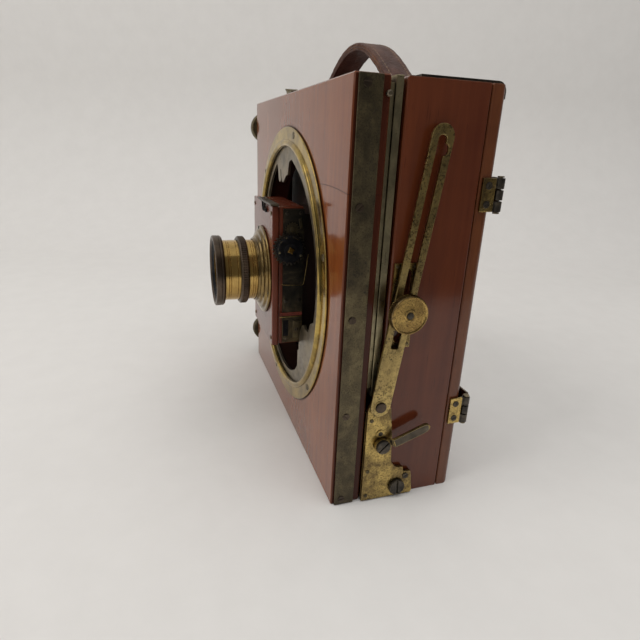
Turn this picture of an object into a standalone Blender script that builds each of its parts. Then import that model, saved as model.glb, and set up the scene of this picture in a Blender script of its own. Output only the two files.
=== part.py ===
"""Folding field camera, closed: mahogany case, fold-up baseboard with turntable, lens and shutter."""

import math

import bmesh
import bpy
from mathutils import Matrix, Vector
from mathutils.geometry import tessellate_polygon

MM = 0.001
GAP = 0.3 * MM

# Case: width along X, height along Z, depth along Y. The lens looks towards -Y.
WIDTH = 212 * MM
HEIGHT = 216 * MM
CASE_FRONT, CASE_BACK, CASE_WALL = -20.9 * MM, 20.9 * MM, 8 * MM
BACK_FRONT, BACK_REAR = 21.2 * MM, 29.1 * MM
BACK_OPENING = 168 * MM
SCREEN_WIDTH, SCREEN_HEIGHT, SCREEN_THICK = 194 * MM, 196 * MM, 5 * MM

# Baseboard, folded up as the front panel, and the focusing frame that slides on its inner face.
BED_FRONT, BED_BACK = -45.1 * MM, -28.4 * MM
FRAME_FRONT, FRAME_BACK = -26.1 * MM, -22.8 * MM
FRAME_BOTTOM, FRAME_RAIL, FRAME_BAR = 65 * MM, 18 * MM, 14 * MM
BED_PIVOT = (-7.1 * MM, 7 * MM)

# Turntable on the baseboard.
TURN_X, TURN_Z = -2 * MM, 108.5 * MM
FLANGE_R, BEAD_OUT, BEAD_IN = 88.6 * MM, 81.2 * MM, 77.2 * MM
TURN_HOLE, REBATE_R, RING_R = 75 * MM, 79 * MM, 78.6 * MM

# Lens and shutter.
LENS_X, LENS_Z = 1.5 * MM, 109 * MM
SHUTTER_HALF, SHUTTER_LOW, SHUTTER_TOP = 29 * MM, 66 * MM, 153 * MM
PANEL_FRONT = -62 * MM

# Side fittings: lock plate, slotted strut and clamp knob, given as (depth, height).
SIDE = WIDTH / 2
PLATE_IN, PLATE_OUT = SIDE + 0.3 * MM, SIDE + 2.5 * MM
STRUT_IN, STRUT_OUT = SIDE + 2.8 * MM, SIDE + 4.4 * MM
STRUT_FOOT = (-21.9 * MM, 60.8 * MM)
STRUT_LEAN = math.radians(7.9)
STRUT_LENGTH = 133.2 * MM
STUD_FROM_FOOT = 52.9 * MM
LEVER_PIVOT = (-18.8 * MM, 36.8 * MM)
LEVER_ANGLE = math.radians(22)

# Pinions: shaft axis as (depth, height).
PINION_Y = -36.9 * MM
PINION_HEIGHTS = (22 * MM, 198.5 * MM)
PINION_R, SHAFT_R, PINION_KNOB_R = 6.8 * MM, 2.5 * MM, 11.5 * MM

# Focusing screen hinges.
HINGE_X, HINGE_Y = SIDE + 0.4 * MM, 32.4 * MM
HINGE_HEIGHTS = (50.2 * MM, 167.8 * MM)
HINGE_LENGTH = 15.8 * MM

LOOKS = {
    "mahogany": ((0.23, 0.06, 0.03, 1), 0.0, 0.25),
    "dark_wood": ((0.12, 0.035, 0.02, 1), 0.0, 0.4),
    "brass": ((0.62, 0.47, 0.20, 1), 1.0, 0.35),
    "dark_brass": ((0.22, 0.18, 0.12, 1), 1.0, 0.45),
    "steel": ((0.30, 0.29, 0.28, 1), 1.0, 0.4),
    "leather": ((0.10, 0.055, 0.05, 1), 0.0, 0.6),
    "bellows_leather": ((0.13, 0.02, 0.03, 1), 0.0, 0.65),
    "black": ((0.015, 0.015, 0.017, 1), 0.0, 0.5),
    "glass": ((0.75, 0.80, 0.80, 0.35), 0.0, 0.05),
}


def material(name):
    found = bpy.data.materials.get(name)
    if found:
        return found
    colour, metal, rough = LOOKS[name]
    made = bpy.data.materials.new(name)
    made.use_nodes = True
    shader = made.node_tree.nodes["Principled BSDF"]
    shader.inputs["Base Color"].default_value = colour
    shader.inputs["Metallic"].default_value = metal
    shader.inputs["Roughness"].default_value = rough
    return made


def finish(name, points, faces, look, smooth=False, origin=None):
    """One closed mesh object, with its origin put on its joint's axis if it moves."""
    mesh = bpy.data.meshes.new(name)
    mesh.from_pydata([tuple(p) for p in points], [], faces)
    work = bmesh.new()
    work.from_mesh(mesh)
    bmesh.ops.remove_doubles(work, verts=work.verts, dist=0.000001)
    bmesh.ops.recalc_face_normals(work, faces=work.faces)
    if sum(f.calc_area() * f.normal.dot(f.calc_center_median()) for f in work.faces) < 0:
        bmesh.ops.reverse_faces(work, faces=work.faces)
    work.to_mesh(mesh)
    work.free()
    mesh.materials.append(material(look))
    made = bpy.data.objects.new(name, mesh)
    bpy.context.scene.collection.objects.link(made)
    if origin is not None:
        mesh.transform(Matrix.Translation(-Vector(origin)))
        made.location = origin
    if smooth:
        for face in mesh.polygons:
            face.use_smooth = True
        mesh.set_sharp_from_angle(angle=math.radians(35))
    return made


def on_axis(axis, along, u, v):
    """A point from its place along an axis and the other two values in X, Y, Z order."""
    return {"X": (along, u, v), "Y": (u, along, v), "Z": (u, v, along)}[axis]


def prism(name, axis, low, high, outline, look, holes=(), smooth=False, origin=None):
    """A flat plate: an outline with holes, extruded along an axis."""
    loops = [list(outline)] + [list(h) for h in holes]
    flat = [p for loop in loops for p in loop]
    count = len(flat)
    caps = tessellate_polygon([[Vector((u, v, 0)) for u, v in loop] for loop in loops])
    points = [on_axis(axis, low, u, v) for u, v in flat] + [on_axis(axis, high, u, v) for u, v in flat]
    faces = [tuple(t) for t in caps] + [tuple(i + count for i in reversed(t)) for t in caps]
    start = 0
    for loop in loops:
        n = len(loop)
        for i in range(n):
            a, b = start + i, start + (i + 1) % n
            faces.append((a, b, b + count, a + count))
        start += n
    return finish(name, points, faces, look, smooth, origin)


def lathe(name, axis, centre, profile, look, steps=48, origin=None):
    """A turned piece: (radius, along) pairs about an axis. A radius of 0 closes on the axis."""
    points, rings = [], []
    for radius, along in profile:
        if radius <= 0:
            rings.append([len(points)])
            points.append(on_axis(axis, along, centre[0], centre[1]))
            continue
        rings.append(list(range(len(points), len(points) + steps)))
        for k in range(steps):
            t = 2 * math.pi * k / steps
            u, v = centre[0] + radius * math.cos(t), centre[1] + radius * math.sin(t)
            points.append(on_axis(axis, along, u, v))
    closed = profile[0][0] > 0
    faces = []
    pairs = list(zip(rings, rings[1:])) + ([(rings[-1], rings[0])] if closed else [])
    for a, b in pairs:
        for k in range(steps):
            n = (k + 1) % steps
            if len(a) == 1 and len(b) > 1:
                faces.append((a[0], b[k], b[n]))
            elif len(b) == 1 and len(a) > 1:
                faces.append((a[k], a[n], b[0]))
            elif len(a) > 1:
                faces.append((a[k], a[n], b[n], b[k]))
    return finish(name, points, faces, look, True, origin)


def rect_ring(name, centre, profile, look, smooth=False, origin=None):
    """A rectangular frame around Y: its section as (half width, half height, depth) corners."""
    points, faces = [], []
    for half_w, half_h, y in profile:
        for sx, sz in ((-1, -1), (1, -1), (1, 1), (-1, 1)):
            points.append((centre[0] + sx * half_w, y, centre[1] + sz * half_h))
    rows = len(profile)
    for i in range(rows):
        j = (i + 1) % rows
        for k in range(4):
            n = (k + 1) % 4
            faces.append((4 * i + k, 4 * i + n, 4 * j + n, 4 * j + k))
    return finish(name, points, faces, look, smooth, origin)


def box(name, low, high, look, bevel=0.0, origin=None):
    outline = [(low[1], low[2]), (high[1], low[2]), (high[1], high[2]), (low[1], high[2])]
    made = prism(name, "X", low[0], high[0], outline, look, origin=origin)
    return rounded(made, bevel) if bevel else made


def rounded(target, width, steps=2, angle=30):
    bevel = target.modifiers.new("Bevel", "BEVEL")
    bevel.width = width
    bevel.segments = steps
    bevel.limit_method = "ANGLE"
    bevel.angle_limit = math.radians(angle)
    bevel.use_clamp_overlap = True
    return target


def boolean(target, tool, kind="DIFFERENCE"):
    tool.hide_render = True
    tool.display_type = "WIRE"
    made = target.modifiers.new(kind.title(), "BOOLEAN")
    made.object = tool
    made.operation = kind
    made.solver = "EXACT"
    return target


def circle(u, v, radius, steps=32, start=0.0, end=2 * math.pi, closed=True):
    count = steps if closed else steps + 1
    step = (end - start) / steps
    return [(u + radius * math.cos(start + i * step), v + radius * math.sin(start + i * step))
            for i in range(count)]


def stadium(a, b, radius, steps=8):
    """A slot or bar with round ends, between two centres."""
    t = math.atan2(b[1] - a[1], b[0] - a[0])
    first = circle(b[0], b[1], radius, steps, t - math.pi / 2, t + math.pi / 2, closed=False)
    return first + circle(a[0], a[1], radius, steps, t + math.pi / 2, t + 3 * math.pi / 2, closed=False)


def span(sign, low, high):
    """A stretch along X on the right (+1) or left (-1) side, low end first."""
    return (low, high) if sign > 0 else (-high, -low)


def along_strut(distance, across=0.0):
    """A point on the strut's centre line, (depth, height), measured from its foot pivot."""
    s, c = math.sin(STRUT_LEAN), math.cos(STRUT_LEAN)
    return (STRUT_FOOT[0] + distance * s + across * c, STRUT_FOOT[1] + distance * c - across * s)


def screw(name, sign, yz, head_r, head, shank_r, shank, look, origin=None):
    """A slotted cheese-head screw along X. head and shank are (inner, outer) distances from the centre."""
    (u, v), (h0, h1), (s0, s1) = yz, head, shank
    chamfer = 0.35 * MM
    profile = [(0, s0), (shank_r, s0), (shank_r, s1), (head_r, h0), (head_r, h1 - chamfer),
               (head_r - chamfer, h1), (0, h1)]
    made = lathe(name, "X", yz, [(r, sign * x) for r, x in profile], look, 20, origin)
    low, high = span(sign, h1 - 0.9 * MM, h1 + 2 * MM)
    slot = box(name + "_slot_cut", (low, u - head_r - MM, v - 0.45 * MM),
               (high, u + head_r + MM, v + 0.45 * MM), look)
    return boolean(made, slot)


def case():
    half_w, half_h = WIDTH / 2, HEIGHT / 2
    edge = 0.7 * MM
    profile = [(half_w - edge, half_h - edge, CASE_FRONT), (half_w, half_h, CASE_FRONT + edge),
               (half_w, half_h, CASE_BACK - edge), (half_w - edge, half_h - edge, CASE_BACK),
               (half_w - CASE_WALL, half_h - CASE_WALL, CASE_BACK),
               (half_w - CASE_WALL, half_h - CASE_WALL, CASE_FRONT)]
    body = rect_ring("case", (0, half_h), profile, "mahogany")
    for sign, tag in ((1, "right"), (-1, "left")):
        low, high = span(sign, half_w - 7.3 * MM, half_w + MM)
        bore = lathe(f"pivot_bore_cut_{tag}", "X", BED_PIVOT,
                     [(0, low), (2.5 * MM, low), (2.5 * MM, high), (0, high)], "black", 24)
        boolean(body, bore)
        low, high = span(sign, half_w - 3 * MM, half_w + MM)
        centre = -13.7 * MM
        groove = prism(f"stud_groove_cut_{tag}", "X", low, high,
                       stadium((centre, 98.2 * MM), (centre, 130.3 * MM), 3.5 * MM), "black")
        boolean(body, groove)


def back():
    half_w, half_h = WIDTH / 2, HEIGHT / 2
    radius = 3.2 * MM
    opening = BACK_OPENING / 2
    profile = [(half_w - 0.5 * MM, half_h - 0.5 * MM, BACK_FRONT), (half_w, half_h, BACK_FRONT + 0.5 * MM)]
    for k in range(7):
        t = math.pi / 2 * k / 6
        inset = radius * (1 - math.cos(t))
        profile.append((half_w - inset, half_h - inset, BACK_REAR - radius + radius * math.sin(t)))
    profile += [(opening + 2 * MM, opening + 2 * MM, BACK_REAR), (opening, opening, BACK_REAR - 2 * MM),
                (opening, opening, BACK_FRONT)]
    rect_ring("back_frame", (0, half_h), profile, "mahogany", True)

    y0 = BACK_REAR + 0.6 * MM
    y1 = y0 + SCREEN_THICK
    origin = (HINGE_X, HINGE_Y, half_h)
    wide, tall = SCREEN_WIDTH / 2, SCREEN_HEIGHT / 2
    inner_w, inner_h = wide - 17 * MM, tall - 17 * MM
    lip = 3 * MM
    profile = [(wide, tall, y0), (wide, tall, y1 - MM), (wide - MM, tall - MM, y1),
               (inner_w - lip, inner_h - lip, y1),
               (inner_w - lip, inner_h - lip, y0 + 2.8 * MM), (inner_w, inner_h, y0 + 2.8 * MM),
               (inner_w, inner_h, y0)]
    rect_ring("screen_frame", (0, half_h), profile, "mahogany", origin=origin)
    half = (inner_w - GAP, inner_h - GAP)
    box("focusing_screen", (-half[0], y0 + 0.5 * MM, half_h - half[1]),
        (half[0], y0 + 2.5 * MM, half_h + half[1]), "glass", origin=origin)


def hinges():
    """Two butt hinges at the right rear corner: leaf on the case back's side, leaf on the screen frame."""
    outer, hole, pin = 2.15 * MM, 1.15 * MM, 0.85 * MM
    for centre_z, tag in zip(HINGE_HEIGHTS, ("lower", "upper")):
        low, high = centre_z - HINGE_LENGTH / 2, centre_z + HINGE_LENGTH / 2
        third = HINGE_LENGTH / 3
        # The fixed leaf is a side plate whose knuckle is cut away in the middle third.
        wrap = circle(HINGE_X, HINGE_Y, outer, 20, -math.pi * 0.346, math.pi * 1.485, closed=False)
        # Side leaf outline seen from above, as (x, y).
        leaf = [(SIDE + GAP, BACK_FRONT + GAP), (SIDE + 1.4 * MM, BACK_FRONT + GAP)] + wrap
        eye = circle(HINGE_X, HINGE_Y, hole, 16)
        fixed = prism(f"hinge_leaf_fixed_{tag}", "Z", low, high, leaf, "dark_brass", [eye], True)
        room = lathe(f"hinge_gap_cut_{tag}", "Z", (HINGE_X, HINGE_Y),
                     [(0, low + third - GAP), (3.2 * MM, low + third - GAP), (3.2 * MM, high - third + GAP),
                      (0, high - third + GAP)], "black", 24)
        boolean(fixed, room)
        y_leaf = BACK_REAR + 0.6 * MM + SCREEN_THICK + 0.3 * MM
        arm = [(HINGE_X + 0.2 * MM, HINGE_Y + 1.25 * MM), (HINGE_X + 0.2 * MM, y_leaf + 1.2 * MM),
               (84 * MM, y_leaf + 1.2 * MM), (84 * MM, y_leaf), (HINGE_X - 3.4 * MM, y_leaf),
               (HINGE_X - 1.2 * MM, HINGE_Y + 1.25 * MM)]
        origin = (HINGE_X, HINGE_Y, HEIGHT / 2)
        moving = prism(f"hinge_leaf_moving_{tag}", "Z", low, high, arm, "dark_brass", origin=origin)
        knuckle = prism(f"hinge_knuckle_join_{tag}", "Z", low + third + GAP, high - third - GAP,
                        circle(HINGE_X, HINGE_Y, outer, 24), "dark_brass")
        boolean(moving, knuckle, "UNION")
        bore = lathe(f"hinge_bore_cut_{tag}", "Z", (HINGE_X, HINGE_Y),
                     [(0, low - MM), (hole, low - MM), (hole, high + MM), (0, high + MM)], "black", 16)
        boolean(moving, bore)
        for end, a, b in (("low", low - MM, low + third + 0.5 * MM),
                          ("high", high - third - 0.5 * MM, high + MM)):
            clear = lathe(f"hinge_clear_cut_{tag}_{end}", "Z", (HINGE_X, HINGE_Y),
                          [(0, a), (2.5 * MM, a), (2.5 * MM, b), (0, b)], "black", 24)
            boolean(moving, clear)
        head, foot = high + 0.3 * MM, low - 0.3 * MM
        button, thick = 1.6 * MM, 0.6 * MM
        lathe(f"hinge_pin_{tag}", "Z", (HINGE_X, HINGE_Y),
              [(0, foot - thick), (button, foot - thick), (button, foot), (pin, foot), (pin, head),
               (button, head), (button, head + thick), (0, head + thick)], "dark_brass", 16)


def bellows():
    """Square leather bellows pressed together, wider at the rear."""
    half_h = HEIGHT / 2
    folds, front, rear = 9, -16.4 * MM, 20.4 * MM
    first, last = (58 * MM, 60 * MM), (97.6 * MM, 99.6 * MM)
    wall = 1.6 * MM
    outer, inner = [], []
    for i in range(2 * folds + 1):
        f = i / (2 * folds)
        y = front + (rear - front) * f
        in_fold = 0 if i % 2 else 7 * MM
        w = first[0] + (last[0] - first[0]) * f - in_fold
        h = first[1] + (last[1] - first[1]) * f - in_fold
        outer.append((w, h, y))
        inner.append((w - wall * 3, h - wall * 3, y))
    rect_ring("bellows", (0, half_h), outer + list(reversed(inner)), "bellows_leather")


def front_standard():
    """Wooden standard, lens panel, shutter and its fittings, all behind or through the turntable."""
    half_h = HEIGHT / 2
    rect_ring("front_standard", (0, half_h),
              [(84 * MM, 80 * MM, -20.5 * MM), (84 * MM, 80 * MM, -16.8 * MM),
               (40 * MM, 40 * MM, -16.8 * MM),
               (40 * MM, 40 * MM, -20.5 * MM)], "dark_wood")
    lens = (LENS_X, LENS_Z)
    origin = (LENS_X, -30 * MM, LENS_Z)
    low, top, half = SHUTTER_LOW, SHUTTER_TOP, SHUTTER_HALF
    opening = circle(LENS_X, LENS_Z, 20 * MM, 40)

    def plate(name, y0, y1, x_half, z0, z1, look, edge=0.0):
        outline = [(LENS_X - x_half, z0), (LENS_X + x_half, z0), (LENS_X + x_half, z1),
                   (LENS_X - x_half, z1)]
        made = prism(name, "Y", y0, y1, outline, look, [opening], origin=origin)
        return rounded(made, edge) if edge else made

    plate("lens_panel", -42.3 * MM, -20.9 * MM, 25 * MM, low + 5 * MM, top - 5 * MM, "dark_wood", 0.4 * MM)
    plate("shutter_case", -57.7 * MM, -42.6 * MM, half - 1.2 * MM, low + 0.5 * MM, top - 0.5 * MM,
          "mahogany", 0.4 * MM)
    plate("shutter_front_board", PANEL_FRONT, -58.1 * MM, half, low, top, "mahogany", 0.5 * MM)
    x0 = LENS_X + half - 0.9 * MM
    box("shutter_side_plate", (x0, -55.4 * MM, low + 1.5 * MM), (x0 + MM, -42.6 * MM, top - 1.5 * MM),
        "dark_brass",
        origin=origin)
    box("top_spring_strip", (LENS_X - 8 * MM, -63.6 * MM, top + 0.4 * MM),
        (LENS_X + 31.5 * MM, -58.6 * MM, top + 1.6 * MM),
        "dark_brass", 0.25 * MM, origin=origin)
    knob_yz = (-52.0 * MM, 128.2 * MM)
    x1 = x0 + 1.3 * MM
    profile = [(0, 0), (3, 0), (3, 1.2), (8.4, 1.2), (8.4, 4.6), (7.8, 5.2), (2.4, 5.2), (2.2, 6.2), (0, 6.2)]
    lathe("winding_knob", "X", knob_yz, [(r * MM, x1 + x * MM) for r, x in profile], "black", 28,
          (x1, knob_yz[0], knob_yz[1]))

    f = PANEL_FRONT - GAP
    lathe("lens_flange", "Y", lens,
          [(19.9 * MM, f), (28.4 * MM, f), (28.4 * MM, f - 1.0 * MM), (27.2 * MM, f - 1.6 * MM),
           (25.4 * MM, f - 1.7 * MM), (25.0 * MM, f - 2.6 * MM), (23.4 * MM, f - 3.4 * MM),
           (21.4 * MM, f - 4.6 * MM), (20.4 * MM, f - 6.2 * MM), (19.5 * MM, f - 6.4 * MM),
           (19.5 * MM, f - 5 * MM), (19.9 * MM, f - 4.8 * MM)], "brass", 40, origin)
    rear, front = -38 * MM, -91.4 * MM
    lathe("lens_barrel", "Y", lens,
          [(19.2 * MM, rear), (19.2 * MM, front), (16.6 * MM, front), (16.6 * MM, -83 * MM),
           (14.4 * MM, -83 * MM),
           (14.4 * MM, -80 * MM), (16.6 * MM, -80 * MM), (16.6 * MM, -50 * MM), (14.4 * MM, -50 * MM),
           (14.4 * MM, -47 * MM), (16.6 * MM, -47 * MM), (16.6 * MM, rear)], "brass", 40, origin)
    centre = -76.4 * MM
    ring = [(19.5 * MM, centre + 2.6 * MM), (20.2 * MM, centre + 2.6 * MM)]
    ring += [(20.2 * MM + 1.4 * MM * math.sin(math.pi * k / 8),
              centre + 2.2 * MM * math.cos(math.pi * k / 8))
             for k in range(1, 8)]
    ring += [(20.2 * MM, centre - 2.6 * MM), (19.5 * MM, centre - 2.6 * MM)]
    lathe("iris_ring", "Y", lens, ring, "dark_brass", 40, (LENS_X, centre, LENS_Z))
    h0, h1 = -89.5 * MM, -94.2 * MM
    lathe("lens_hood", "Y", lens,
          [(19.5 * MM, h0 + 0.9 * MM), (21.4 * MM, h0 + 0.9 * MM), (22.3 * MM, h0),
           (22.3 * MM, h1 + 0.5 * MM),
           (21.8 * MM, h1), (20.4 * MM, h1), (17.6 * MM, h1 + 2.2 * MM), (17.2 * MM, front - 0.3 * MM),
           (19.5 * MM, front - 0.3 * MM)], "dark_brass", 40, origin)
    for name, y, bulge in (("front_glass", -83.3 * MM, 3.4 * MM), ("rear_glass", -46.7 * MM, -3.2 * MM)):
        rim = 16.3 * MM
        sign = 1 if bulge > 0 else -1
        profile = [(0, y), (rim, y), (rim, y - sign * 1.2 * MM)]
        profile += [(rim * math.cos(math.pi / 2 * k / 6),
                     y - sign * 1.2 * MM - bulge * math.sin(math.pi / 2 * k / 6))
                    for k in range(1, 6)]
        profile.append((0, y - sign * 1.2 * MM - bulge))
        lathe(name, "Y", lens, profile, "glass", 24, origin)


def handle():
    """Leather strap arched over the top, with a brass plate at each end."""
    top = HEIGHT
    middle, half, rise, wide, thick = 2 * MM, 61 * MM, 27 * MM, 8 * MM, 4.4 * MM
    steps = 24
    centre = 0.3 * MM
    outer, inner = [], []
    for i in range(steps + 1):
        f = -1 + 2 * i / steps
        lift = rise * (1 - f * f) ** 1.25
        outer.append((half * f, lift))
    for i, (x, z) in enumerate(outer):
        a, b = outer[max(i - 1, 0)], outer[min(i + 1, steps)]
        t = Vector((b[0] - a[0], b[1] - a[1])).normalized()
        inner.append((x + t.y * thick, max(z - t.x * thick, 0)))
    foot = 8 * MM
    ground = top + 1.7 * MM
    rim = [(x, ground + z) for x, z in outer]
    low = [(x, ground + z) for x, z in inner]
    rim[0], rim[-1] = (-half, ground + 3 * MM), (half, ground + 3 * MM)
    low[0], low[-1] = (-half + thick, ground + 2.6 * MM), (half - thick, ground + 2.6 * MM)
    outline = ([(-half - foot, ground), (-half - foot, ground + 2.6 * MM),
                (-half - 2 * MM, ground + 2.8 * MM)]
               + rim[1:-1] + [(half + 2 * MM, ground + 2.8 * MM), (half + foot, ground + 2.6 * MM),
                              (half + foot, ground),
                              (half - thick + MM, ground)]
               + list(reversed(low[1:-1])) + [(-half + thick - MM, ground)])
    outline = [(middle + x, z) for x, z in reversed(outline)]
    rounded(prism("handle_strap", "Y", centre - wide, centre + wide, outline, "leather"), 0.9 * MM, 2, 40)
    for sign, tag in ((1, "right"), (-1, "left")):
        x0, x1 = span(sign, half - 6 * MM, half + foot + 3 * MM)
        box(f"handle_plate_{tag}", (middle + x0, centre - 10 * MM, top + GAP),
            (middle + x1, centre + 10 * MM, top + 1.4 * MM),
            "dark_brass", 0.3 * MM)


def top_catch():
    """Flat spring on the case that hooks over the back frame's rounded top edge."""
    x, half = 97.5 * MM, 5 * MM
    z = HEIGHT + GAP
    y0, y1 = -13 * MM, BACK_REAR + 0.4 * MM
    thick = 1.2 * MM
    outer, inner = [(y0, z + thick)], [(y0, z)]
    for k in range(7):
        t = math.pi / 2 * k / 6
        centre_y, centre_z, r = y1 - 3.2 * MM, z - 3.2 * MM, 3.2 * MM
        outer.append((centre_y + (r + thick) * math.sin(t), centre_z + (r + thick) * math.cos(t)))
        inner.append((centre_y + r * math.sin(t), centre_z + r * math.cos(t)))
    end = 3 * MM
    outer.append((outer[-1][0], outer[-1][1] - end))
    inner.append((inner[-1][0], inner[-1][1] - end))
    outline = outer + list(reversed(inner))
    origin = (x, y0, z)
    prism("back_catch", "X", x - half, x + half, outline, "dark_brass", origin=origin)


def baseboard():
    half_w = WIDTH / 2
    edge = [(-half_w, 0), (half_w, 0), (half_w, HEIGHT), (-half_w, HEIGHT)]
    origin = (0, BED_PIVOT[0], BED_PIVOT[1])
    board = prism("baseboard", "Y", BED_FRONT, BED_BACK, edge, "mahogany",
                  [circle(TURN_X, TURN_Z, TURN_HOLE, 72)], origin=origin)
    rounded(board, 0.6 * MM, 1, 50)
    rebate = prism("ring_rebate_cut", "Y", BED_FRONT - 3 * MM, BED_FRONT + 2.4 * MM,
                   circle(TURN_X, TURN_Z, REBATE_R, 72), "black")
    boolean(board, rebate)
    bores = []
    for tag, height in zip(("rear", "front"), PINION_HEIGHTS):
        bore = lathe(f"shaft_bore_cut_{tag}", "X", (PINION_Y, height),
                     [(0, -half_w - 3 * MM), (SHAFT_R + GAP, -half_w - 3 * MM), (SHAFT_R + GAP, 100 * MM),
                      (0, 100 * MM)], "black", 24)
        bores.append(bore)
        boolean(board, bore)
    for sign, side in ((1, "right"), (-1, "left")):
        for tag, height in zip(("rear", "front"), PINION_HEIGHTS):
            low, high = span(sign, 92.4 * MM, 99.6 * MM)
            reach = PINION_R + 0.5 * MM
            pocket = box(f"pinion_pocket_cut_{side}_{tag}", (low, PINION_Y - reach, height - reach),
                         (high, BED_BACK + MM, height + reach), "black")
            boolean(board, pocket)
        low, high = span(sign, 92.4 * MM, 99.6 * MM)
        groove = box(f"rack_groove_cut_{side}", (low, -30.2 * MM, 10 * MM),
                     (high, BED_BACK + MM, HEIGHT + MM), "black")
        boolean(board, groove)
        # Brass strip screwed to the board's side edge.
        low, high = span(sign, half_w + GAP, half_w + 1.5 * MM)
        strip = box(f"edge_strip_{side}", (low, -43.5 * MM, 0.4 * MM),
                    (high, -32.4 * MM, HEIGHT - 0.4 * MM),
                    "dark_brass", 0.3 * MM, origin=origin)
        if sign < 0:
            for bore in bores:
                boolean(strip, bore)
        # Runner that the focusing frame slides on.
        low, high = span(sign, 101 * MM, 105 * MM)
        box(f"bed_runner_{side}", (low, BED_BACK + GAP, 70 * MM),
            (high, FRAME_FRONT - GAP, HEIGHT - 3 * MM), "dark_brass",
            origin=origin)

    # The flange's raised bead holds the turning ring in its rebate.
    f = BED_FRONT - GAP
    bead = []
    mid, half = (BEAD_OUT + BEAD_IN) / 2, (BEAD_OUT - BEAD_IN) / 2
    for k in range(7):
        t = math.pi * k / 6
        bead.append((mid + half * math.cos(t), f - 1.0 * MM - 1.7 * MM * math.sin(t)))
    profile = [(BEAD_IN, f), (FLANGE_R, f), (FLANGE_R, f - 0.6 * MM),
               (FLANGE_R - 0.4 * MM, f - 1.0 * MM)] + bead
    lathe("turntable_flange", "Y", (TURN_X, TURN_Z), profile, "brass", 72, origin)
    ring_outline = circle(TURN_X, TURN_Z, RING_R, 96)
    prism("turntable_ring", "Y", BED_FRONT + 0.3 * MM, BED_FRONT + 2.0 * MM, ring_outline, "brass",
          [ring_inside()],
          origin=(TURN_X, BED_FRONT + MM, TURN_Z))


def ring_inside():
    """The ring's inner outline from (degrees, radius): a forked lug on top, a broad plate low on the right."""
    marks = [(-180, 72.6), (-130, 73.6), (-96, 73.6), (-80, 72), (-68, 69.5), (-62, 66.8),
             (-58, 60.5), (-56.5, 57.5), (-53, 57.2), (-51.5, 55), (-48, 51.8), (-46.5, 50.6),
             (-42, 48.8), (-34, 49), (-30.5, 50.5), (-30, 54.5), (-26, 60.5), (-22, 60.5),
             (-19, 61), (-15, 66), (0, 66.5), (40, 66.2), (74, 68), (82, 70), (84, 70), (88.5, 68),
             (90.5, 63), (91.5, 60), (96, 59.5), (102, 56.5), (105, 56.2), (107.5, 58.5),
             (108, 66), (109.2, 66), (109.7, 59), (113, 58.6), (115, 61), (114.5, 70), (116, 72.6),
             (150, 72.6)]
    outline = []
    for (a0, r0), (a1, r1) in zip(marks, marks[1:]):
        pieces = max(1, round(abs(a1 - a0) / 6))
        for k in range(pieces):
            f = k / pieces
            a, r = math.radians(a0 + (a1 - a0) * f), (r0 + (r1 - r0) * f) * MM
            outline.append((TURN_X + r * math.cos(a), TURN_Z + r * math.sin(a)))
    a, r = math.radians(marks[-1][0]), marks[-1][1] * MM
    outline.append((TURN_X + r * math.cos(a), TURN_Z + r * math.sin(a)))
    for degrees in (160, 170):
        a = math.radians(degrees)
        outline.append((TURN_X + 72.6 * MM * math.cos(a), TURN_Z + 72.6 * MM * math.sin(a)))
    return outline


def focusing():
    """Focusing frame that slides on the baseboard, its racks, and the two pinions with their knobs."""
    half_w = WIDTH / 2
    top = HEIGHT
    inner = half_w - FRAME_RAIL
    bar = top - FRAME_BAR
    outline = [(-half_w, FRAME_BOTTOM), (-inner, FRAME_BOTTOM), (-inner, bar), (inner, bar),
               (inner, FRAME_BOTTOM),
               (half_w, FRAME_BOTTOM), (half_w, top), (-half_w, top)]
    origin = (0, FRAME_FRONT, FRAME_BOTTOM)
    rounded(prism("focusing_frame", "Y", FRAME_FRONT, FRAME_BACK, outline, "dark_brass", origin=origin),
            0.3 * MM, 1, 50)
    for sign, side in ((1, "right"), (-1, "left")):
        low, high = span(sign, 93 * MM, 99 * MM)
        box(f"focus_rack_{side}", (low, -29.8 * MM, 13 * MM), (high, FRAME_FRONT - GAP, 206 * MM),
            "brass", origin=origin)
    for tag, height in zip(("rear", "front"), PINION_HEIGHTS):
        x0, r, s = half_w + 1.8 * MM, PINION_KNOB_R, SHAFT_R
        knob = [(0, 12), (3, 12), (3.4, 11), (10.3, 10.6), (11.5, 9.4), (11.5, 4.6), (10.5, 3.6), (4.2, 3),
                (4.2, 0)]
        profile = [(min(q * MM, r), -x0 - x * MM) for q, x in knob]
        for face in (-96 * MM, 96 * MM):
            low, high = face - 2.6 * MM, face + 2.6 * MM
            profile += [(s, -x0)] if face < 0 else []
            profile += [(s, low), (PINION_R, low), (PINION_R, high), (s if face < 0 else 0, high)]
        lathe(f"pinion_{tag}", "X", (PINION_Y, height), profile, "brass", 24, (-half_w, PINION_Y, height))


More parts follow.
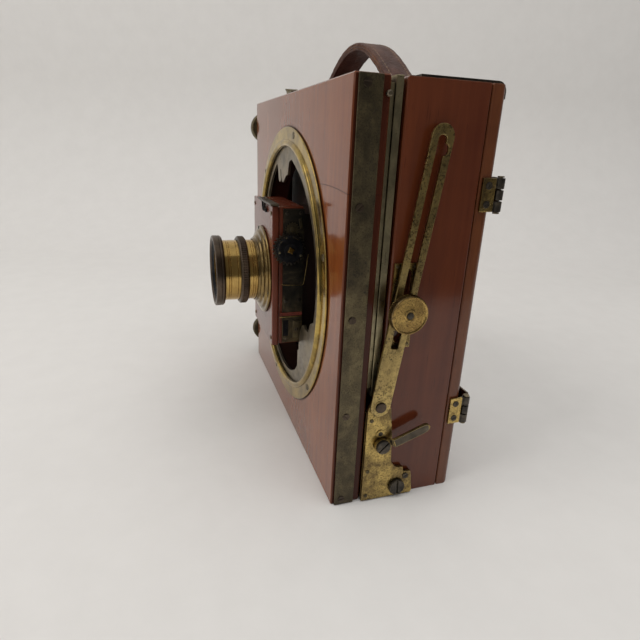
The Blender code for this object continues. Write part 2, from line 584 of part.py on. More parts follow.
def lever_arm(sign, side):
    """The lever's bar, set out from its hub: sections of (distance, half width, inner face, outer face)."""
    base = PLATE_OUT + 0.4 * MM
    sections = [(3, 2.6, 0.2, 1.8), (6.4, 2.6, 0.3, 1.9), (9.6, 2.6, 2.6, 4.5), (22, 2.7, 3.0, 4.9),
                (25.4, 2.6, 3.1, 5.0),
                (26.8, 2.1, 3.1, 5.0), (27.6, 1.0, 3.1, 5.0)]
    c, s = math.cos(LEVER_ANGLE), math.sin(LEVER_ANGLE)
    points, faces = [], []
    for along, half, inner, outer in sections:
        for across, x in ((-half, inner), (half, inner), (half, outer), (-half, outer)):
            y, z = along * c - across * s, along * s + across * c
            points.append((sign * (base + x * MM), LEVER_PIVOT[0] + y * MM, LEVER_PIVOT[1] + z * MM))
    for i in range(len(sections) - 1):
        for k in range(4):
            n = (k + 1) % 4
            faces.append((4 * i + k, 4 * i + n, 4 * i + 4 + n, 4 * i + 4 + k))
    last = 4 * (len(sections) - 1)
    faces += [(0, 1, 2, 3), (last, last + 1, last + 2, last + 3)]
    return finish(f"lever_arm_join_{side}", points, faces, "brass")


def side_fittings(sign, side):
    """Lock plate, lever, strut and clamp knob of one side."""
    bed_origin = (0, BED_PIVOT[0], BED_PIVOT[1])
    fillet = circle(-4.1 * MM, 26.5 * MM, 7.6 * MM, 8, math.radians(248), math.radians(180), closed=False)
    outline = [(-27.9 * MM, 0.6 * MM), (2.4 * MM, 0.6 * MM), (3.4 * MM, 1.8 * MM), (1.8 * MM, 14.4 * MM),
               (0.6 * MM, 15.8 * MM), (-3.2 * MM, 16.0 * MM), (-3.9 * MM, 19.2 * MM)] + fillet[1:] + [
               (-12.4 * MM, 40 * MM), (-14.6 * MM, 58 * MM)]
    outline += circle(STRUT_FOOT[0] + 0.6 * MM, 58.6 * MM, 6.2 * MM, 8, 0.1, math.radians(165),
                      closed=False)
    outline += [(-27.9 * MM, 58 * MM)]
    holes = [circle(BED_PIVOT[0], BED_PIVOT[1], 2.6 * MM, 20),
             circle(LEVER_PIVOT[0], LEVER_PIVOT[1], 1.8 * MM, 16),
             circle(STRUT_FOOT[0], STRUT_FOOT[1], 1.8 * MM, 16)]
    low, high = span(sign, PLATE_IN, PLATE_OUT)
    plate = prism(f"lock_plate_{side}", "X", low, high, outline, "brass", holes, origin=bed_origin)
    # Flange behind the baseboard that carries the plate.
    low, high = span(sign, 100.4 * MM, PLATE_IN + 0.6 * MM)
    flange = box(f"lock_flange_join_{side}", (low, -28.05 * MM, 2 * MM), (high, -26.3 * MM, 56 * MM),
                 "brass")
    boolean(plate, flange, "UNION")

    screw(f"pivot_screw_{side}", sign, BED_PIVOT, 5.2 * MM, (PLATE_OUT + GAP, PLATE_OUT + 2.2 * MM),
          2.2 * MM,
          (SIDE - 7 * MM, PLATE_OUT + GAP), "steel")

    low, high = span(sign, PLATE_OUT + 0.3 * MM, PLATE_OUT + 2.4 * MM)
    hub = prism(f"lock_lever_{side}", "X", low, high,
                circle(LEVER_PIVOT[0], LEVER_PIVOT[1], 4.3 * MM, 28), "brass",
                [circle(LEVER_PIVOT[0], LEVER_PIVOT[1], 1.8 * MM, 16)], True,
                origin=(sign * PLATE_OUT, LEVER_PIVOT[0], LEVER_PIVOT[1]))
    boolean(hub, lever_arm(sign, side), "UNION")
    screw(f"lever_screw_{side}", sign, LEVER_PIVOT, 4.2 * MM,
          (PLATE_OUT + 2.7 * MM, PLATE_OUT + 4.2 * MM), 1.5 * MM,
          (PLATE_IN, PLATE_OUT + 2.7 * MM), "steel")

    half = 5.6 * MM
    foot, tip = along_strut(0), along_strut(STRUT_LENGTH)
    outline = stadium(foot, tip, half, 12)
    slot = []
    w = 1.95 * MM
    # The slot: straight, then a keyhole with a round notch on its rear side, then straight to its end.
    rear = [(34, w), (125.4, w), (125.8, 3.2 * MM), (127, 4.0 * MM), (129.2, 4.0 * MM),
            (130.4, 3.2 * MM), (130.8, w)]
    slot += [along_strut(d * MM, a) for d, a in rear]
    slot += [along_strut(132.6 * MM, w), along_strut(133.8 * MM, 0.9 * MM),
             along_strut(133.8 * MM, -0.9 * MM),
             along_strut(132.6 * MM, -w),
             along_strut(34 * MM, -w), along_strut(32.6 * MM, -0.9 * MM), along_strut(32.6 * MM, 0.9 * MM)]
    eye = circle(foot[0], foot[1], 1.8 * MM, 16)
    low, high = span(sign, STRUT_IN, STRUT_OUT)
    prism(f"strut_{side}", "X", low, high, outline, "brass", [slot, eye],
          origin=(sign * STRUT_IN, foot[0], foot[1]))
    rivet = [(0, PLATE_IN), (1.5 * MM, PLATE_IN), (1.5 * MM, STRUT_OUT + GAP), (3.0 * MM, STRUT_OUT + GAP),
             (2.6 * MM, STRUT_OUT + 1.0 * MM), (1.4 * MM, STRUT_OUT + 1.5 * MM), (0, STRUT_OUT + 1.6 * MM)]
    lathe(f"strut_rivet_{side}", "X", foot, [(r, sign * x) for r, x in rivet], "brass", 16, bed_origin)

    # The stud slides in the strut's slot with its washer, and the knob turns on it.
    stud = along_strut(STUD_FROM_FOOT)
    x = STRUT_OUT + GAP
    profile = [(0, SIDE + 1.8 * MM), (1.6 * MM, SIDE + 1.8 * MM), (1.6 * MM, x), (5.2 * MM, x),
               (5.2 * MM, x + 1.0 * MM),
               (1.6 * MM, x + 1.0 * MM), (1.6 * MM, x + 5 * MM), (0, x + 5 * MM)]
    lathe(f"clamp_stud_{side}", "X", stud, [(r, sign * px) for r, px in profile], "brass", 20,
          (sign * x, stud[0], stud[1]))
    profile = [(0, 5.4), (1.9, 5.4), (1.9, 1.3), (4.6, 1.3), (4.6, 2.6), (9.4, 2.6), (10.1, 3.2), (10.1, 6.2),
               (9.4, 6.9), (3.6, 7.1), (3.4, 7.9), (0, 7.9)]
    profile = [(r * MM, x + out * MM) for r, out in profile]
    lathe(f"clamp_knob_{side}", "X", stud, [(r, sign * px) for r, px in profile], "brass", 32,
          (sign * x, stud[0], stud[1]))

    low, high = span(sign, SIDE + GAP, SIDE + 1.3 * MM)
    centre = -13.7 * MM
    edge = [(centre - 6 * MM, 92.5 * MM), (centre + 6 * MM, 92.5 * MM), (centre + 6 * MM, 136 * MM),
            (centre - 6 * MM, 136 * MM)]
    prism(f"slot_plate_{side}", "X", low, high, edge, "dark_brass",
          [stadium((centre, 98.2 * MM), (centre, 130.3 * MM), 3.5 * MM)])


def catches():
    """Stud near the top of the board's right edge, and the bolt with a thumb lip on its top edge."""
    z = HEIGHT + GAP
    outline = [(-3.5, 0), (-3.5, 1.0), (-13.2, 1.1), (-15, 2.6), (-18.4, 3.4), (-18.6, 2.6),
               (-16.2, 1.6), (-15, 0)]
    outline = [(x * MM, z + h * MM) for x, h in outline]
    prism("bed_bolt", "Y", -43.2 * MM, -35.6 * MM, outline, "dark_brass", origin=(-9 * MM, -39 * MM, z))
    y, z, x = -29.9 * MM, 208.4 * MM, SIDE + GAP
    profile = [(0, x), (1.0 * MM, x), (1.0 * MM, x + 0.8 * MM), (1.45 * MM, x + 1.3 * MM),
               (1.45 * MM, x + 2.1 * MM),
               (1.0 * MM, x + 2.8 * MM), (0, x + 3 * MM)]
    lathe("catch_stud", "X", (y, z), profile, "brass", 20, (x, y, z))


def build():
    for old in list(bpy.data.objects):
        bpy.data.objects.remove(old, do_unlink=True)
    case()
    back()
    hinges()
    bellows()
    front_standard()
    handle()
    top_catch()
    baseboard()
    focusing()
    side_fittings(1, "right")
    side_fittings(-1, "left")
    catches()


build()
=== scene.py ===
import random
from math import asin, atan2, cos, degrees, pi, radians, sin

import bmesh
import bpy
from mathutils import Matrix, Vector
from mathutils.geometry import tessellate_polygon


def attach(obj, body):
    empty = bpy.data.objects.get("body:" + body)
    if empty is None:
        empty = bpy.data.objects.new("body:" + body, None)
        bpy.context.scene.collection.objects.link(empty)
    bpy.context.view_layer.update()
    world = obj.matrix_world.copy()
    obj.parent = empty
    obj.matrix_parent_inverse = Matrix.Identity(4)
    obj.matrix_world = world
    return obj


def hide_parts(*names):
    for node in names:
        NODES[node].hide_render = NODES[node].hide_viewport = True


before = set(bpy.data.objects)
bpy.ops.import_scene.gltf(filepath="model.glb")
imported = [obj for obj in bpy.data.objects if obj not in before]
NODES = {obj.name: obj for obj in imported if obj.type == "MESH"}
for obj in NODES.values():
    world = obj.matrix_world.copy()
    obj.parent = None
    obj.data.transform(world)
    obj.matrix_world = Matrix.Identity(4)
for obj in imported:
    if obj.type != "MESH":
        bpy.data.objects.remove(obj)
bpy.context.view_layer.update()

MM = 0.001
SCENE = bpy.context.scene

# Shared sizes and centres in millimetres, in the frame's own axes: the lens looks along -Y, +Z is up.
# A centre is (x, z) for a piece turned about Y and (y, z) for one turned about X.
SIDE = 106
LENS, TURN, HOLE_RADIUS = (1.5, 109), (-2, 108.5), 79.5
PLATE_IN, PLATE_OUT = SIDE + 0.3, SIDE + 2.5
STRUT_IN, STRUT_OUT = SIDE + 2.8, SIDE + 4.4
FOOT, LEAN = (-21.9, 60.8), radians(7.9)
LEVER, LEVER_TILT = (-18.8, 36.8), radians(22)
BED_PIVOT, WINDER, AXLE = (-7.1, 7), (-52, 128.2), (106.4, 32.4)
SIDES = ((1, "right"), (-1, "left"))
CASE, FRONT = "camera_case", "rising_front"


# ---- materials

class Look:
    """A material's node tree in short calls. Every texture reads object coordinates, in metres."""

    def __init__(self, name):
        self.mat = bpy.data.materials.new(name)
        self.mat.use_nodes = True
        self.tree = self.mat.node_tree
        self.shader = self.tree.nodes["Principled BSDF"]
        self.coord = self.new("TexCoord").outputs["Object"]

    def new(self, kind):
        return self.tree.nodes.new("ShaderNode" + kind)

    def put(self, socket, value):
        if isinstance(value, bpy.types.NodeSocket):
            self.tree.links.new(value, socket)
        elif isinstance(value, tuple) and len(value) == 3 and socket.type == "RGBA":
            socket.default_value = (*value, 1)
        else:
            socket.default_value = value

    def node(self, kind, props=None, **inputs):
        made = self.new(kind)
        for key, value in (props or {}).items():
            setattr(made, key, value)
        for key, value in inputs.items():
            self.put(made.inputs[key], value)
        return made.outputs[0]

    def parts(self, source="Object"):
        """The x, y and z of a texture coordinate."""
        split = self.new("SeparateXYZ")
        self.put(split.inputs[0], self.new("TexCoord").outputs[source])
        return split.outputs

    def mapped(self, stretch, turn=(0, 0, 0)):
        return self.node("Mapping", Vector=self.coord, Scale=stretch, Rotation=turn)

    def noise(self, scale, detail=4, rough=0.55, stretch=None, turn=(0, 0, 0), warp=0, seed=0):
        where = self.mapped(stretch, turn) if stretch else self.coord
        return self.node("TexNoise", {"noise_dimensions": "4D"}, Vector=where, Scale=scale, Detail=detail,
            Roughness=rough, Distortion=warp, W=seed)

    def cells(self, scale, turn=None):
        where = self.mapped((1, 1, 1), turn) if turn else self.coord
        return self.node("TexVoronoi", Vector=where, Scale=scale, Randomness=1)

    def ramp(self, value, *stops):
        made = self.new("ValToRGB")
        self.put(made.inputs[0], value)
        band = made.color_ramp
        while len(band.elements) < len(stops):
            band.elements.new(0.5)
        for element, (place, colour) in zip(band.elements, stops):
            element.position = place
            element.color = (*colour, 1) if isinstance(colour, tuple) else (colour, colour, colour, 1)
        return made.outputs[0]

    def mix(self, share, a, b):
        made = self.new("Mix")
        made.data_type = "RGBA"
        for index, value in ((0, share), (6, a), (7, b)):
            self.put(made.inputs[index], value)
        return made.outputs[2]

    def sums(self, how, a, b=0, clamp=False):
        made = self.new("Math")
        made.operation, made.use_clamp = how, clamp
        self.put(made.inputs[0], a)
        self.put(made.inputs[1], b)
        return made.outputs[0]

    def times(self, a, b):
        return self.sums("MULTIPLY", a, b)

    def plus(self, a, b, clamp=False):
        return self.sums("ADD", a, b, clamp)

    def larger(self, a, b):
        return self.sums("MAXIMUM", a, b)

    def edges(self, radius, low=0.02, high=0.25):
        """About 1 on the object's sharp edges and 0 on its flat faces."""
        dot = self.new("VectorMath")
        dot.operation = "DOT_PRODUCT"
        self.put(dot.inputs[0], self.node("Bevel", {"samples": 6}, Radius=radius))
        self.put(dot.inputs[1], self.new("NewGeometry").outputs["True Normal"])
        return self.ramp(self.sums("SUBTRACT", 1, dot.outputs["Value"]), (low, 0), (high, 1))

    def finish(self, colour, rough, metal=0, height=None, depth=0.0002, strength=0.4, **more):
        more.update({"Base Color": colour, "Roughness": rough, "Metallic": metal})
        if height is not None:
            more["Normal"] = self.node("Bump", Height=height, Distance=depth, Strength=strength)
        for key, value in more.items():
            self.put(self.shader.inputs[key.replace("_", " ")], value)
        return self.mat


def shaded(colour, share):
    return tuple(v * share for v in colour)


def board_marks(look, colour):
    """What only the baseboard has: black inside its round opening, a dark ring round the flange's edge, one
    long scratch, and painted shade on the faces that look along X. Gives the colour and the share of the
    coat that is left.
    Distances are in metres, times 10 or 1000 where a ramp reads them."""
    x, _, z = look.parts()
    across, up = look.sums("SUBTRACT", x, TURN[0] * MM), look.sums("SUBTRACT", z, TURN[1] * MM)
    reach = look.sums("SQRT", look.plus(look.times(across, across), look.times(up, up)))
    inside = look.sums("LESS_THAN", reach, HOLE_RADIUS * MM)
    colour = look.mix(inside, colour, (0.012, 0.006, 0.006))
    # A dark ring just outside the flange's edge.
    dark_marks = look.ramp(look.times(reach, 10), (0.888, 0.9), (0.899, 0))
    bend = look.times(look.sums("POWER", look.sums("SUBTRACT", across, 0.08), 2), 2)
    scratch = look.sums("ABSOLUTE", look.sums("SUBTRACT", look.plus(up, bend), 0.0605))
    scratch = look.ramp(look.times(scratch, 1000), (0.1, 1), (0.26, 0))
    scratch = look.times(scratch, look.sums("GREATER_THAN", across, 0.068))
    dark_marks = look.larger(dark_marks, look.times(scratch, 0.8))
    colour = look.mix(dark_marks, colour, (0.02, 0.008, 0.005))
    # Painted shade: the faces that look along X, the board's side edges, are darkened.
    end = look.ramp(look.sums("ABSOLUTE", look.parts("Normal")[0]), (0.55, 0), (0.8, 0.86))
    colour = look.mix(end, colour, (0.03, 0.006, 0.004))
    dulled = look.larger(look.larger(inside, dark_marks), look.times(end, 0.75))
    return colour, look.sums("SUBTRACT", 1, look.times(dulled, 0.85))


def wood(name, light, dark, gloss=0.09, round_edge=0.9 * MM, board=False):
    """French-polished mahogany: streaks, ribbon figure, pores up the grain, worn arrises, small dents."""
    look = Look(name)
    grain = (1, 1, 0.045)
    streak = look.noise(260, 5, 0.62, grain, warp=0.3)
    broad = look.noise(34, 3, 0.55, (1, 1, 0.25), warp=0.8, seed=2)
    ribbon = look.noise(14, 2, 0.5, (0.7, 0.7, 3), warp=1.5, seed=4)
    tone = look.plus(look.times(streak, 0.55), look.times(broad, 0.45))
    middle = tuple((a + b) / 2 for a, b in zip(light, dark))
    colour = look.ramp(tone, (0.36, dark), (0.52, middle), (0.66, light))
    colour = look.mix(look.ramp(ribbon, (0.35, 0), (0.7, 0.35)), colour, light)
    pore = look.ramp(look.noise(1500, 2, 0.5, grain, seed=6), (0.3, 1), (0.37, 0))
    colour = look.mix(look.times(pore, 0.5), colour, shaded(dark, 0.25))
    stain = look.ramp(look.noise(9, 4, 0.6, seed=8), (0.38, 0.18), (0.6, 0))
    colour = look.mix(stain, colour, shaded(dark, 0.45))
    rub = look.ramp(look.noise(90, 5, 0.7, seed=1), (0.42, 0), (0.6, 1))
    rub = look.times(look.edges(0.8 * MM), rub)
    colour = look.mix(look.times(rub, 0.5), colour, (0.3, 0.12, 0.05))
    sparse = look.ramp(look.noise(20, 2, 0.5, seed=3), (0.6, 0), (0.66, 1))
    dent = look.times(look.ramp(look.cells(150, (0.4, 0.3, 0.8)), (0.035, 1), (0.075, 0)), sparse)
    colour = look.mix(look.times(dent, 0.75), colour, shaded(dark, 0.2))
    hair = look.noise(900, 3, 0.6, (0.04, 1, 1), (0.2, 0.9, 0.5), seed=5)
    sheen = look.ramp(look.noise(45, 4, 0.6, seed=7), (0.3, gloss), (0.75, gloss + 0.13))
    sheen = look.plus(sheen, look.times(look.ramp(hair, (0.64, 0), (0.7, 1)), 0.08))
    wave = look.plus(look.times(look.noise(60, 2, 0.5, (1, 1, 0.5)), 0.25),
        look.times(look.plus(pore, look.times(dent, 2)), -0.35))
    ripple = look.plus(look.times(look.noise(45, 2, 0.5, (1, 1, 0.4), seed=2.5), 0.6),
        look.times(look.plus(pore, look.times(dent, 3)), -0.12))
    eased = look.node("Bevel", {"samples": 6}, Radius=round_edge)
    coat_bump = look.node("Bump", Height=ripple, Distance=0.0003, Strength=0.25, Normal=eased)
    colour, coat = board_marks(look, colour) if board else (colour, 1)
    return look.finish(colour, 0.42, 0, wave, 0.00022, 0.35, Coat_Weight=coat, Coat_Roughness=sheen,
        Coat_IOR=1.48, Coat_Normal=coat_bump, Specular_IOR_Level=0.03)


def brass(name, bright, dull, dark, worn=0.5, rough=(0.22, 0.42), spots=0.5, edge=0.7, turned=0,
        brushed=None, scale=1, pits=0, tarnish=0, painted_height_shade=None, painted_rim_shade=0):
    """Lacquered or bare brass: bright metal, a dull patina in patches, corroded specks, rubbed edges with a
    painted highlight.
    """
    look = Look(name)
    patch = look.noise(55 * scale, 6, 0.68, warp=0.6)
    colour = look.mix(look.ramp(patch, (0.62 - 0.35 * worn, 0), (0.8 - 0.3 * worn, 1)), bright, dull)
    fine = look.noise(420 * scale, 4, 0.7, seed=2)
    where = look.ramp(look.noise(30 * scale, 3, 0.6, seed=5), (0.4, 0.25), (0.62, 1))
    speck = look.times(look.times(look.ramp(fine, (0.57, 0), (0.66, 1)), where), spots)
    colour = look.mix(speck, colour, dark)
    if tarnish:
        # Broad brown tarnish with a ragged border.
        broad = look.noise(38 * scale, 7, 0.72, (1, 1, 0.6), warp=1, seed=14)
        colour = look.mix(look.ramp(broad, (0.43, 0), (0.56, tarnish)), colour, shaded(dark, 2.2))
    # Dirt and painted shade in the corners: ambient occlusion darkens the colour there.
    corner_shade_and_dirt = look.node("AmbientOcclusion", {"samples": 6}, Distance=0.003)
    corner_shade_and_dirt = look.times(look.ramp(corner_shade_and_dirt, (0.35, 0.85), (0.75, 0)), look.ramp(fine, (0.35, 0.6), (0.6, 1)))
    colour = look.mix(corner_shade_and_dirt, colour, dark)
    if painted_rim_shade:
        # Painted shade: the rim round the piece, whose faces look across the X axis, is turned toward the
        # dull tone.
        outward = look.sums("ABSOLUTE", look.parts("Normal")[0])
        colour = look.mix(look.ramp(outward, (0.45, painted_rim_shade), (0.75, 0)), colour, dull)
    if painted_height_shade:
        # Painted shade: the tone darkens by the given shares at the given heights up the piece.
        colour = look.mix(look.ramp(look.parts()[2], *painted_height_shade), colour, dark)
    if pits:
        # Fine corrosion, thick in some places and thin in others, with a few deeper pits.
        crust = look.ramp(look.noise(820 * scale, 3, 0.75, seed=11), (0.5, 0), (0.58, 0.85))
        thick = look.ramp(look.noise(85 * scale, 5, 0.7, seed=9), (0.36, 0.25 * pits), (0.58, pits))
        pit = look.ramp(look.cells(620 * scale, (0.5, 0.3, 0.2)), (0.2, 1), (0.36, 0))
        deep = look.ramp(look.noise(120 * scale, 5, 0.7, seed=9.5), (0.46, 0), (0.6, pits))
        pit = look.times(pit, deep)
        colour = look.mix(look.larger(look.times(crust, thick), pit), colour, dark)
        speck = look.larger(speck, pit)
    # Rubbed edges, lightened past the bright tone: wear with a painted highlight.
    rubbed_edge_highlight = tuple(min(1, v) for v in shaded(bright, 1.15))
    colour = look.mix(look.times(look.edges(0.45 * MM), edge), colour, rubbed_edge_highlight)
    base = look.ramp(look.noise(80 * scale, 5, 0.65, seed=7), (0.3, rough[0]), (0.7, rough[1]))
    base = look.plus(base, look.times(speck, 0.25), clamp=True)
    height = look.times(speck, -0.6)
    if turned or brushed:
        # Turning marks are fine rings along Y, the lens's own axis; brushing runs along the piece.
        rings = {"W": look.parts()[1], "Scale": turned, "Detail": 2}
        lines = (look.noise(1300, 2, 0.5, brushed) if brushed
            else look.node("TexNoise", {"noise_dimensions": "1D"}, **rings))
        height = look.plus(height, look.times(lines, 0.22))
        base = look.plus(base, look.times(look.sums("SUBTRACT", lines, 0.5), 0.18), clamp=True)
    return look.finish(colour, base, look.ramp(speck, (0, 1), (1, 0.6)), height, 0.00008, 0.5)


def dark_lever():
    """The lever's flat face: dark, finely scratched along its length."""
    look = Look("lever_steel")
    scratch = look.noise(1100, 3, 0.6, (1, 0.25, 0.6), (0.38, 0, 0))
    colour = look.ramp(look.noise(140, 5, 0.7), (0.35, (0.05, 0.042, 0.032)), (0.6, (0.12, 0.1, 0.075)),
        (0.78, (0.25, 0.21, 0.15)))
    colour = look.mix(look.edges(0.45 * MM, 0.03, 0.2), colour, (0.66, 0.5, 0.22))
    return look.finish(colour, look.ramp(scratch, (0.3, 0.3), (0.7, 0.5)), 0.85, scratch, 0.00005, 0.4)


def steel():
    look = Look("blued_steel")
    colour = look.ramp(look.noise(160, 5, 0.7), (0.35, (0.035, 0.032, 0.03)), (0.6, (0.11, 0.095, 0.075)),
        (0.75, (0.24, 0.19, 0.12)))
    # Edges lightened toward a pale tone: wear through the bluing with a painted highlight.
    colour = look.mix(look.times(look.edges(0.25 * MM), 0.5), colour, (0.42, 0.36, 0.25))
    rough = look.ramp(look.noise(300, 3, 0.6, seed=1), (0.3, 0.28), (0.7, 0.5))
    return look.finish(colour, rough, 0.9, look.noise(900, 3, 0.6, (1, 1, 0.1)), 0.00005, 0.4)


def leather(name, base, worn, edge_tone, grain=700, gloss=0.38, edge=0.9):
    """Leather or cloth: a grain, long creases, worn patches and paler rubbed edges."""
    look = Look(name)
    wrinkle = look.noise(70, 6, 0.7, (0.5, 1.6, 1), warp=0.8)
    colour = look.mix(look.ramp(wrinkle, (0.42, 0), (0.68, 1)), base, worn)
    stain = look.ramp(look.noise(28, 4, 0.6, seed=4), (0.55, 0), (0.75, 0.7))
    colour = look.mix(stain, colour, shaded(base, 0.5))
    rub = look.ramp(look.noise(60, 4, 0.65, seed=6), (0.4, 0), (0.62, edge))
    colour = look.mix(look.times(look.edges(0.9 * MM, 0.01, 0.2), rub), colour, edge_tone)
    crease = look.noise(190, 5, 0.7, (0.5, 1.3, 1), warp=1.2, seed=3)
    height = look.plus(look.times(look.cells(grain), 0.5), look.plus(wrinkle, look.times(crease, 0.8)))
    rough = look.ramp(look.noise(120, 4, 0.6, seed=2), (0.3, gloss), (0.7, gloss + 0.25))
    return look.finish(colour, rough, 0, height, 0.0006, 0.75, Specular_IOR_Level=0.5)


def enamel():
    """Black lacquer over brass, worn through on its corners."""
    look = Look("black_enamel")
    bare = look.ramp(look.noise(500, 4, 0.7), (0.5, 0), (0.68, 1))
    bare = look.times(look.edges(0.35 * MM), bare)
    black = look.ramp(look.noise(240, 4, 0.6), (0.4, (0.004, 0.004, 0.005)), (0.7, (0.018, 0.018, 0.02)))
    rough = look.ramp(look.noise(300, 3, 0.6, seed=3), (0.3, 0.3), (0.7, 0.55))
    return look.finish(look.mix(bare, black, (0.45, 0.33, 0.15)), rough, look.times(bare, 0.9),
        look.noise(800, 3, 0.6), 0.0001, 0.4, Specular_IOR_Level=0.12)


def mechanism():
    """The shutter's blackened side plate: black lacquer gone brown and olive in blotches, browner below."""
    look = Look("shutter_metal")
    blotch = look.noise(95, 6, 0.7, warp=0.7)
    colour = look.ramp(blotch, (0.36, (0.006, 0.006, 0.006)), (0.52, (0.028, 0.023, 0.015)),
        (0.66, (0.1, 0.078, 0.045)), (0.8, (0.2, 0.17, 0.12)))
    low = look.times(look.ramp(look.parts()[2], (0.07, 1), (0.098, 0)),
        look.ramp(blotch, (0.4, 0.2), (0.62, 0.85)))
    rough = look.ramp(look.noise(200, 4, 0.6, seed=2), (0.3, 0.35), (0.7, 0.62))
    return look.finish(look.mix(low, colour, (0.17, 0.125, 0.06)), rough, 0.55, blotch, 0.0003, 0.4)


def clear_glass():
    look = Look("lens_glass")
    smear = look.ramp(look.noise(60, 4, 0.6), (0.4, 0.01), (0.75, 0.07))
    return look.finish((0.92, 0.96, 0.95), smear, Transmission_Weight=1, IOR=1.52, Coat_Weight=0.3,
        Coat_Tint=(0.75, 0.8, 1))


def ground_glass():
    look = Look("ground_glass")
    tone = look.ramp(look.noise(35, 4, 0.6), (0.35, (0.58, 0.62, 0.6)), (0.7, (0.72, 0.75, 0.73)))
    return look.finish(tone, 0.48, 0, look.noise(4000, 2, 0.6), 0.00006, 0.6, Transmission_Weight=0.55,
        IOR=1.5)


DEEP, BROWN, UMBER = (0.05, 0.035, 0.02), (0.03, 0.025, 0.02), (0.05, 0.04, 0.03)
M = {
    "board": wood("board_mahogany", (0.25, 0.065, 0.012), (0.13, 0.028, 0.006), 0.045, 0.5 * MM,
        board=True),
    # The case's mahogany is darker than the board's: painted shade for its side, which faces away from the
    # light.
    "case": wood("case_mahogany_painted_shade", (0.13, 0.032, 0.011), (0.078, 0.016, 0.006), 0.06),
    "back": wood("back_mahogany", (0.165, 0.052, 0.016), (0.085, 0.023, 0.009), 0.1, 1.5 * MM),
    "screen": wood("screen_mahogany", (0.25, 0.065, 0.02), (0.12, 0.026, 0.009), 0.16),
    "shutter": wood("shutter_mahogany", (0.2, 0.045, 0.02), (0.08, 0.017, 0.009), 0.16),
    # Near black mahogany for the standard, the lens panel and the slide deep inside the front: painted
    # shade.
    "dark": wood("standard_mahogany_painted_shade", (0.03, 0.012, 0.008), (0.01, 0.005, 0.004), 0.35),
    "gold": brass("lacquered_brass", (0.6, 0.4, 0.13), (0.4, 0.26, 0.09), DEEP, 0.45, (0.15, 0.24), 0.2,
        turned=5200),
    "bead": brass("turntable_brass", (0.56, 0.4, 0.115), (0.23, 0.165, 0.07), DEEP, 0.5, (0.1, 0.22), 0.45,
        0.5, tarnish=0.5),
    "flange": brass("flange_brass", (0.31, 0.215, 0.085), (0.15, 0.105, 0.05), DEEP, 0.5, (0.12, 0.24),
        0.35, tarnish=0.5),
    "ring": brass("ring_brass", (0.33, 0.28, 0.2), (0.17, 0.15, 0.12), UMBER, 0.6, (0.3, 0.5), 0.6, 0.4),
    "plate": brass("plate_brass", (0.66, 0.48, 0.165), (0.36, 0.26, 0.1), (0.045, 0.03, 0.018), 0.55,
        (0.22, 0.38), 1, 0.9, scale=1.2, pits=0.8, tarnish=0.75),
    "strut": brass("strut_brass", (0.6, 0.45, 0.175), (0.36, 0.265, 0.115), DEEP, 0.5, (0.24, 0.4), 1, 0.9,
        pits=1, tarnish=0.35),
    "strip": brass("strip_brass", (0.26, 0.212, 0.12), (0.135, 0.112, 0.07), BROWN, 0.55, (0.38, 0.55), 0.9,
        0.9, brushed=(1, 1, 0.03), scale=1.6, pits=0.55, tarnish=0.5,
        painted_height_shade=((0.02, 0.3), (0.07, 0.05), (0.12, 0.05), (0.15, 0.2), (0.19, 0))),
    "rail": brass("rail_brass", (0.42, 0.36, 0.22), (0.2, 0.18, 0.12), UMBER, 0.5, (0.25, 0.42), 0.6, 0.9,
        brushed=(1, 1, 0.02)),
    "bronze": brass("bronzed_brass", (0.135, 0.1, 0.072), (0.07, 0.055, 0.045), (0.02, 0.018, 0.016), 0.55,
        (0.28, 0.45), 0.4, 0.8, turned=4200),
    "dark_brass": brass("aged_brass", (0.26, 0.21, 0.13), (0.11, 0.095, 0.065), BROWN, 0.55, (0.3, 0.48),
        0.7, 0.9),
    "knob": brass("knob_brass", (0.66, 0.45, 0.15), (0.17, 0.125, 0.065), (0.06, 0.028, 0.012), 0.3,
        (0.22, 0.38), 1, 0.9, scale=2.2, pits=1, tarnish=0.45, painted_rim_shade=0.9),
    "steel": steel(),
    "lever": dark_lever(),
    "leather": leather("handle_leather", (0.052, 0.02, 0.014), (0.125, 0.062, 0.045), (0.38, 0.16, 0.06),
        gloss=0.46),
    "bellows": leather("bellows_leather", (0.035, 0.006, 0.008), (0.07, 0.014, 0.014), (0.1, 0.035, 0.03),
        900, 0.42, 0.5),
    "black": enamel(),
    "mechanism": mechanism(),
    "glass": clear_glass(),
    "ground": ground_glass(),
    "thread": leather("waxed_thread", (0.24, 0.17, 0.11), (0.12, 0.075, 0.05), (0.5, 0.4, 0.28), 3000, 0.6,
        0.3),
    "red": leather("red_cloth_band", (0.17, 0.026, 0.012), (0.08, 0.015, 0.009), (0.24, 0.07, 0.03), 2500,
        0.6, 0.4),
}


# ---- shapes, all in millimetres

def finish(name, points, faces, look, body, smooth=32, replaces=""):
    """One closed piece that rides on a body. smooth is the angle above which an edge stays sharp."""
    mesh = bpy.data.meshes.new(name)
    mesh.from_pydata([tuple(v * MM for v in p) for p in points], [], faces)
    work = bmesh.new()
    work.from_mesh(mesh)
    bmesh.ops.remove_doubles(work, verts=work.verts, dist=0.002 * MM)
    bmesh.ops.recalc_face_normals(work, faces=work.faces)
    work.to_mesh(mesh)
    work.free()
    mesh.materials.append(M[look])
    made = bpy.data.objects.new(name, mesh)
    SCENE.collection.objects.link(made)
    for face in mesh.polygons:
        face.use_smooth = True
    mesh.set_sharp_from_angle(angle=radians(smooth))
    even = made.modifiers.new("FlatFaces", "WEIGHTED_NORMAL")
    even.mode, even.keep_sharp, even.weight = "FACE_AREA", True, 80
    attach(made, body)
    if replaces:
        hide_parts(replaces)


